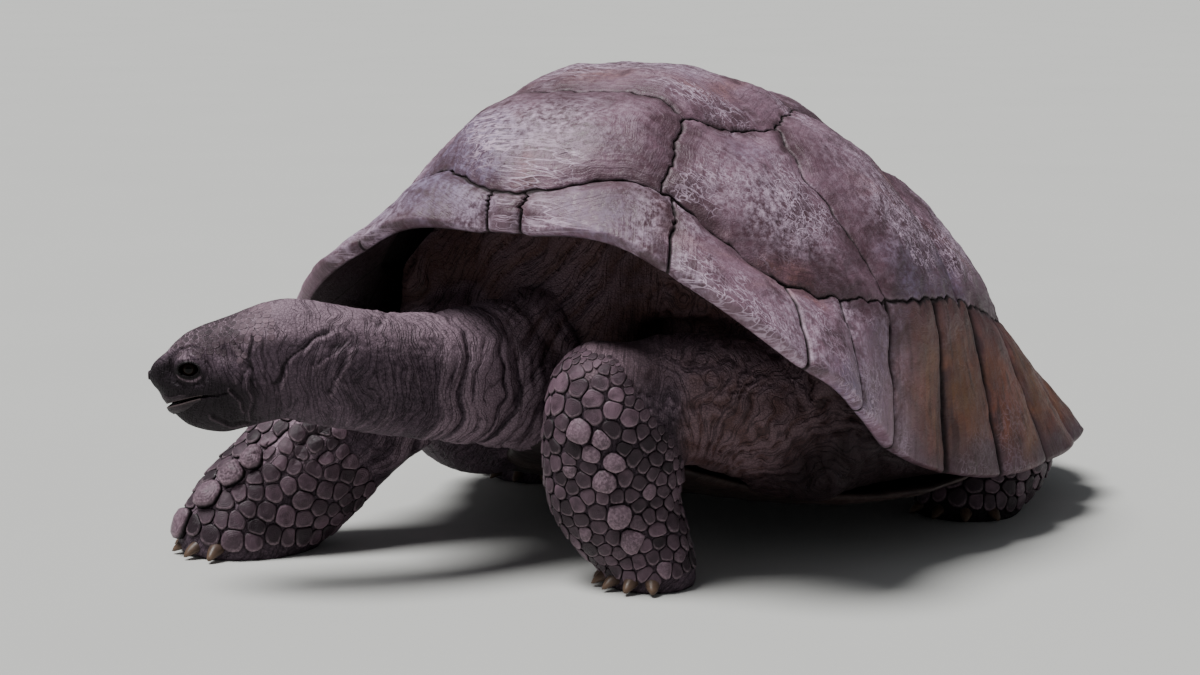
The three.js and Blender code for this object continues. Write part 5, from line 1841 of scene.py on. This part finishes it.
class Finish(Nodes):
    """A material in the making: colours are laid over each other, then roughness and bumps follow."""

    def __init__(self, name):
        self.material = bpy.data.materials.new(name)
        self.material.use_nodes = True
        super().__init__(self.material.node_tree)
        self.place = self.add("ShaderNodeTexCoord")["Object"]
        self.surface = self.tree.nodes["Principled BSDF"].inputs

    def use(self, group, **inputs):
        """A shared effect with values of its own."""
        return self.add("ShaderNodeGroup", {"Place": self.place, **inputs}, node_tree=group)

    def mottle(self, scale):
        return self.use(MOTTLE, Scale=scale)

    def scratches(self, scale):
        return self.use(SCRATCHES, Scale=scale)["Lines"]

    def grain(self, cells, dust):
        return self.use(GRAIN, Cells=cells, Dust=dust)

    def lay(self, colour, mask, amount=None):
        """Lay a colour over the ones before, where a mask says and as much as amount says."""
        factor = mask if amount is None else self.times(mask, amount)
        self.colour = self.blend(factor, self.colour, colour)

    def done(self, rough, bumps=(), specular=0.5):
        """Bumps on bumps: (height, distance in metres, strength) from the widest to the finest."""
        link = {}
        for height, distance, strength in bumps:
            inputs = {"Height": height, "Distance": distance, "Strength": strength, **link}
            link = {"Normal": self.add("ShaderNodeBump", inputs)[0]}
        values = {"Base Color": self.colour, "Roughness": rough, "Specular IOR Level": specular}
        for key, value in {**values, **link}.items():
            self.feed(self.surface[key], value)
        return self.material


def wear(material, *pieces):
    for piece in pieces:
        piece.data.materials.clear()
        piece.data.materials.append(material)
    print(f"{material.name}: {len(material.node_tree.nodes)} nodes")


# %% [markdown]
# ## Old horn
#
# The plates are mauve grey with lilac wear in their middles, rust and bluish patches, dark blotches and
# a web of pale scratches. The plates of the flanks are brown, olive and orange, streaked downwards.
# Each point of a plate carries numbers, such as its distance to the seam, and the finish turns those
# into dirt, growth lines, worn edges and painted shade on the faces towards the inside of the shell.
# That keeps the finish tied to the form, at any size.

# %% Horn of the shell
MAUVE, DARK_MAUVE, PALE_LILAC = tint(144, 110, 128), tint(80, 54, 64), tint(208, 182, 204)
BLUISH, RUST, BLOTCH = tint(150, 138, 176), tint(140, 88, 80), tint(72, 48, 56)
FLANK_BROWN, FLANK_OLIVE = tint(106, 68, 62), tint(116, 82, 42)
FLANK_ORANGE, FLANK_DARK = tint(132, 72, 44), tint(60, 36, 36)
SEAM_DARK, UNDER_PAINTED_SHADE = tint(34, 20, 24), tint(40, 28, 30)


def shell_horn():
    f = Finish("shell_horn")
    seam, tone, growth, rim, flank, groove = (
        f.number(name) for name in ("seam", "tone", "growth", "rim", "flank", "wide"))
    wide, small = f.mottle(4.2), f.mottle(15.0)
    scratch, grain = f.scratches(2.2), f.grain(180.0, 420.0)

    f.colour = f.blend(wide["Patch"], DARK_MAUVE, MAUVE)
    f.lay(DARK_MAUVE, small["Patch"], 0.35)
    f.lay(PALE_LILAC, f.band(growth, 0.1, 0.85, 0.9, 0.15), small["Fleck"])
    worn = f.band(small["Fleck"], 0.0, 1.0, 0.3, 1.0)
    f.lay(BLUISH, f.band(f.noise(f.place, 4.6, 3.0, W=3.0), 0.5, 0.68, 0.0, 0.6), worn)
    f.lay(RUST, f.band(f.noise(f.place, 5.5, 5.0, Distortion=0.7), 0.54, 0.7, 0.0, 0.7), worn)
    blotch = f.noise(f.place, 13.0, 5.0, Roughness=0.65, Distortion=0.9, W=7.0)
    f.lay(BLOTCH, f.band(blotch, 0.49, 0.66, 0.0, 0.8))
    f.lay(FLANK_DARK, tone, 0.14)

    # the skirt of the flanks: brown above, olive and orange in the middle, mauve at the rim
    level = f.raised(rim, f.minus(f.noise(f.place, 9.0, 3.0), 0.5), 0.7)
    lower = f.blend(wide["Patch"], FLANK_OLIVE, FLANK_ORANGE)
    side = f.blend(f.band(level, 0.12, 0.42), FLANK_BROWN, lower)
    side = f.blend(f.band(level, 0.7, 0.98), side, DARK_MAUVE)
    side = f.blend(f.times(small["Patch"], 0.5), side, FLANK_DARK)
    f.lay(side, flank, 0.9)

    # growth lines, streaks down the flanks, scratches, and seams full of dirt
    ring_place = f.add("ShaderNodeCombineXYZ", {0: f.times(seam, 0.22), 1: tone})[0]
    lines = f.band(f.noise(ring_place, 1.0, 2.0), 0.42, 0.62)
    f.lay(DARK_MAUVE, lines, 0.2)
    streaks = f.noise(f.stretched(f.place, Scale=(34.0, 34.0, 5.0)), 1.6, 4.0, Roughness=0.65)
    f.lay(FLANK_DARK, flank, f.band(streaks, 0.5, 0.68, 0.0, 0.75))
    f.lay(PALE_LILAC, scratch, f.minus(0.85, f.times(flank, 0.6)))
    f.lay(BLOTCH, f.band(seam, 1.0, 26.0, 0.9, 0.0), small["Patch"])
    crack = f.band(seam, f.raised(0.9, groove, 2.2), f.raised(3.0, groove, 5.0), 1.0, 0.0)
    f.lay(SEAM_DARK, crack)
    # painted shade: the faces of the plates towards the inside of the shell are darkened
    f.lay(UNDER_PAINTED_SHADE, f.number("under"), 0.9)
    rough = f.raised(f.raised(0.42, small["Fleck"], 0.22), crack, 0.3)
    return f.done(rough, [
        (lines, 0.0006, 0.5), (small["Fleck"], 0.0012, 0.45), (scratch, -0.0005, 0.6),
        (grain["Pits"], 0.0007, 0.35)])


def mark_underside_shade(piece):
    """1 where a plate faces the inside of the shell, where its colour gets painted shade."""
    facing = (normals_of(piece) * unit(points_of(piece) - SHELL_MIDDLE)).sum(axis=1)
    mark(piece, "under", smoothstep(-facing, -0.15, 0.2))


for piece in (spine_plates, flank_plates, skirt):
    mark_underside_shade(piece)
wear(shell_horn(), spine_plates, flank_plates, skirt)

# %% [markdown]
# ## Belly horn
#
# The belly shield is scuffed by the ground, so it is browner and rougher, and its colour is painted
# near black as shade, for it always lies in the shadow under the animal.

# %% Horn of the plastron
def plastron_horn():
    f = Finish("plastron_horn")
    wide, scratch = f.mottle(5.0), f.scratches(3.0)
    # painted shade: both colours of the belly horn are kept near black
    f.colour = f.blend(wide["Patch"], tint(26, 19, 20), tint(54, 41, 40))
    f.lay(tint(96, 80, 74), scratch, 0.3)
    f.lay(SEAM_DARK, f.band(f.number("seam"), 1.0, 5.0, 1.0, 0.0))
    bumps = [(wide["Fleck"], 0.001, 0.4), (scratch, -0.0005, 0.6)]
    return f.done(f.raised(0.5, wide["Fleck"], 0.2), bumps, specular=0.25)


wear(plastron_horn(), plastron)

# %% [markdown]
# ## Hide
#
# Dry hide gets painted shade in its folds and a pale mix of dust and painted highlight on their
# crests. The folds were stored as numbers while they were sculpted, and the same numbers colour them.
# Fine wrinkles are drawn as thin lines of painted shade where a noise, stretched along the folds,
# crosses its middle value. Pebbled grain and pits come last, as relief only.

# %% Hide
HIDE_DARK, HIDE_MID, HIDE_PALE = tint(44, 34, 42), tint(84, 69, 80), tint(140, 118, 132)
# the pale of dust and painted highlight, and the near black of painted shade
HIDE_SOFT, HIDE_DUST_AND_HIGHLIGHT, HIDE_PAINTED_SHADE = tint(100, 70, 64), tint(176, 150, 164), tint(16, 11, 14)


def hide():
    f = Finish("hide")
    fold, soft, cleft, pale = (f.number(name) for name in ("fold", "soft", "cleft", "pale"))
    wide, small = f.mottle(7.0), f.mottle(30.0)
    grain, coarse = f.grain(230.0, 650.0), f.grain(115.0, 300.0)

    # thin wrinkles that run along the folds, drawn where a stretched noise crosses its middle, as lines
    # of painted shade and as bumps
    axes = f.add("ShaderNodeSeparateXYZ", {0: f.place})
    drawn = f.add("ShaderNodeCombineXYZ", {
        0: f.times(f.number("sweep"), 0.13), 1: f.times(axes["X"], 13.0), 2: f.times(axes["Z"], 13.0)})
    wrinkle = f.close_to(f.noise(drawn[0], 1.0, 2.0), 0.5, 0.0, 0.05)

    f.colour = f.blend(f.times(wide["Patch"], 0.8), HIDE_DARK, HIDE_MID)
    f.lay(HIDE_PALE, small["Fleck"], 0.3)
    f.lay(HIDE_SOFT, soft, 0.75)
    # dust and painted top light on faces that look up
    f.lay(HIDE_DUST_AND_HIGHLIGHT, f.maths("MAXIMUM", pale, 0.0), 0.8)
    # painted shade about the jaws and underneath, over skin that is darker there too
    f.lay(HIDE_PAINTED_SHADE, f.maths("MAXIMUM", f.times(pale, -1.0), 0.0), 0.93)
    # dust and painted highlight on the crests of the folds, less on the soft skin
    f.lay(HIDE_DUST_AND_HIGHLIGHT, f.band(fold, 0.1, 0.9, 0.0, 0.45), f.minus(1.0, f.times(soft, 0.75)))
    # painted shade in the wrinkles, in the valleys of the folds and under the shell
    f.lay(HIDE_PAINTED_SHADE, wrinkle, 0.5)
    f.lay(HIDE_PAINTED_SHADE, f.band(fold, -0.9, -0.05, 0.85, 0.0), f.band(soft, 0.0, 1.0, 1.0, 0.6))
    f.lay(HIDE_PAINTED_SHADE, f.number("shade"), 0.85)
    f.lay(HIDE_DARK, f.band(grain["Pebbles"], 0.0, 0.7, 0.4, 0.0))
    # painted shade in the cleft of the mouth, along the rim of the lids and in the socket under the
    # brow
    f.lay(tint(12, 8, 10), f.band(cleft, 0.1, 0.6))
    return f.done(f.raised(0.46, small["Fleck"], 0.2), [
        (small["Patch"], 0.0016, 0.35), (wrinkle, -0.0011, 0.8), (coarse["Pebbles"], 0.0006, 0.4),
        (grain["Pebbles"], 0.0005, 0.6), (grain["Pits"], 0.0003, 0.4)], specular=0.15)


wear(hide(), skin)

# %% [markdown]
# ## Scales, claws and beak
#
# Each scale has its own tone, paler at knee height as painted top light, a pale crescent where its
# lower rim catches wear, and dark skin showing round its foot. The large knobs are paler and mottled.
# Claws are streaked along their length, and the beak is darkest away from its biting edge.

# %% Scales, claws and beak
def scale_horn(name, darkest, palest, rims):
    f = Finish(name)
    share, tone, large, lower = (f.number(name) for name in ("share", "tone", "large", "lower"))
    small, grain = f.mottle(36.0), f.grain(420.0, 900.0)
    f.colour = f.blend(tone, darkest, palest)
    f.lay(darkest, small["Patch"], 0.6)
    f.lay(tint(140, 116, 128), f.band(large, 0.8, 1.0), f.band(small["Fleck"], 0.0, 1.0, 0.25, 0.9))
    rim = f.close_to(share, 0.82, 0.03, 0.2)
    crescent = f.times(rim, f.band(lower, -0.1, 0.8, 0.06 * rims, rims))
    f.lay(tint(160, 136, 146), crescent, f.band(small["Fleck"], 0.1, 0.9, 0.35, 1.0))
    f.lay(tint(16, 11, 14), f.band(share, 0.9, 0.985))
    rings = f.maths("SINE", f.times(share, 34.0))
    bumps = [(rings, 0.0003, 0.35), (small["Fleck"], 0.0008, 0.4), (grain["Pits"], 0.0003, 0.35)]
    return f.done(f.raised(0.36, small["Fleck"], 0.2), bumps, specular=0.25)


def claw_horn():
    f = Finish("claw_horn")
    streak = f.noise(f.stretched(f.place, Scale=(60.0, 60.0, 240.0)), 1.0, 3.0)
    f.colour = f.blend(streak, tint(40, 30, 30), tint(104, 84, 72))
    f.lay(tint(128, 102, 80), f.band(f.number("share"), 0.6, 1.0, 0.0, 0.35))
    return f.done(f.band(streak, 0.2, 0.8, 0.32, 0.5), [(streak, 0.0008, 0.5)], specular=0.3)


def beak_horn():
    f = Finish("beak_horn")
    small, scratch = f.mottle(40.0), f.scratches(7.0)
    f.colour = f.blend(small["Patch"], tint(22, 16, 19), tint(46, 36, 42))
    f.lay(tint(116, 100, 100), f.band(f.number("edge"), 0.0, 0.2, 1.0, 0.0), 0.4)
    f.lay(tint(120, 104, 110), scratch, 0.15)
    bumps = [(small["Fleck"], 0.0006, 0.4), (scratch, -0.0002, 0.5)]
    return f.done(f.raised(0.36, small["Fleck"], 0.2), bumps, specular=0.2)


wear(scale_horn("leg_scale_horn", tint(40, 30, 36), tint(126, 100, 114), 0.55),
     scales_front_left, scales_front_right, scales_rear_left, scales_rear_right)
wear(scale_horn("crown_scale_horn", tint(54, 41, 48), tint(148, 122, 134), 0.3), scales_crown)
wear(claw_horn(), claws)
wear(beak_horn(), upper_beak, lower_beak)

# %% [markdown]
# ## Eyes
#
# A tortoise's eye reads as one dark wet bead, so the pupil, the brown iris and the white round it are
# all kept close to black, and the surface is as smooth as glass.

# %% Wet eyes
def wet_eye():
    f = Finish("wet_eye")
    gaze = f.number("gaze")
    iris = f.blend(f.noise(f.place, 900.0, 3.0), tint(12, 8, 7), tint(30, 18, 13))
    f.colour = f.blend(f.band(gaze, 18.0, 22.0), tint(3, 2, 2), iris)
    f.lay(tint(10, 7, 7), f.band(gaze, 40.0, 48.0))
    return f.done(0.06, specular=0.14)


wear(wet_eye(), *eyes.values())

# %% [markdown]
# ## Camera, light and floor
#
# The camera stands low, in front of the animal and towards its left, a little over four metres off
# and with a long lens, so that the head comes forward without being stretched. One large soft light
# stands high over the animal's front right and leaves the underside dark. A weak even room light
# fills the shadows, and a plain pale floor takes them. Soft edges show relief without hard lines.

# %% Camera, light and floor
CAMERA_TURN, CAMERA_LIFT, CAMERA_DISTANCE = math.radians(31.149), math.radians(8.598), 4.2
CAMERA_TARGET = [-192.61, -33.05, 237.75]
LENS, SENSOR_WIDTH = 84.54, 36.0
KEY_DIRECTION, KEY_STRENGTH, KEY_SPREAD = Vector((-0.30, -0.30, 1.0)), 4.3, 28
ROOM_COLOUR, ROOM_STRENGTH = (0.82, 0.86, 0.92, 1), 0.17
FLOOR_SIZE = 80


def link(name, data, place, turn):
    thing = bpy.data.objects.new(name, data)
    thing.location = place
    thing.rotation_euler = turn
    bpy.context.scene.collection.objects.link(thing)
    return thing


def add_camera():
    flat = math.cos(CAMERA_LIFT)
    away = Vector((
        math.sin(CAMERA_TURN) * flat, -math.cos(CAMERA_TURN) * flat, math.sin(CAMERA_LIFT)))
    data = bpy.data.cameras.new("camera")
    data.lens = LENS
    data.sensor_width = SENSOR_WIDTH
    place = Vector(to_scene(CAMERA_TARGET)) + away * CAMERA_DISTANCE
    turn = (-away).to_track_quat("-Z", "Y").to_euler()
    bpy.context.scene.camera = link("camera", data, place, turn)


def add_key_light():
    """A soft light from far off, so that the floor is lit evenly."""
    data = bpy.data.lights.new("key", "SUN")
    data.energy = KEY_STRENGTH
    data.angle = math.radians(KEY_SPREAD)
    link("key", data, KEY_DIRECTION * 3, KEY_DIRECTION.to_track_quat("Z", "Y").to_euler())


def add_room():
    world = bpy.data.worlds.new("studio")
    bpy.context.scene.world = world
    world.use_nodes = True
    background = world.node_tree.nodes["Background"].inputs
    background["Color"].default_value = ROOM_COLOUR
    background["Strength"].default_value = ROOM_STRENGTH


def add_floor():
    deselect()
    bpy.ops.mesh.primitive_plane_add(size=FLOOR_SIZE, location=(0, 0, 0))
    floor = active()
    floor.name = "floor"
    f = Finish("pale_floor")
    f.colour = f.blend(f.noise(f.place, 1.5, 3.0), tint(202, 202, 198), tint(208, 208, 204))
    wear(f.done(0.9), floor)


add_camera()
add_key_light()
add_room()
add_floor()

# %% [markdown]
# ## What each piece stands for
#
# The model is a still figure, so every piece rides on the one body. The table also names the solids
# of the frame that each piece takes the place of, which are hidden, and the slot of its material, so
# that the finished figure can be held against the plain one.

# %% Riders, and the solids they replace
FLESH = ["torso", "neck", "head", "lower_jaw", "leg_front_left", "shoulder_left", "leg_front_right"]
FLESH += ["shoulder_right", "leg_rear_left", "leg_rear_right", "tail"]
ROLES = [
    # piece, solids of the frame that it replaces, material slot
    (spine_plates, ["carapace"], "shell"),
    (flank_plates, ["carapace"], "shell"),
    (skirt, ["carapace"], "shell"),
    (plastron, ["plastron"], "plastron"),
    (skin, FLESH, "skin"),
    (scales_front_left, [], "skin"),
    (scales_front_right, [], "skin"),
    (scales_rear_left, [], "skin"),
    (scales_rear_right, [], "skin"),
    (scales_crown, [], "skin"),
    (claws, [], "beak"),
    (upper_beak, [], "beak"),
    (lower_beak, [], "beak"),
    (eyes["left"], ["eye_left"], "eye"),
    (eyes["right"], ["eye_right"], "eye"),
]
for piece, solids, slot in ROLES:
    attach(piece, "root")
    if solids:
        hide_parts(*solids)
print("pieces:", len(ROLES))
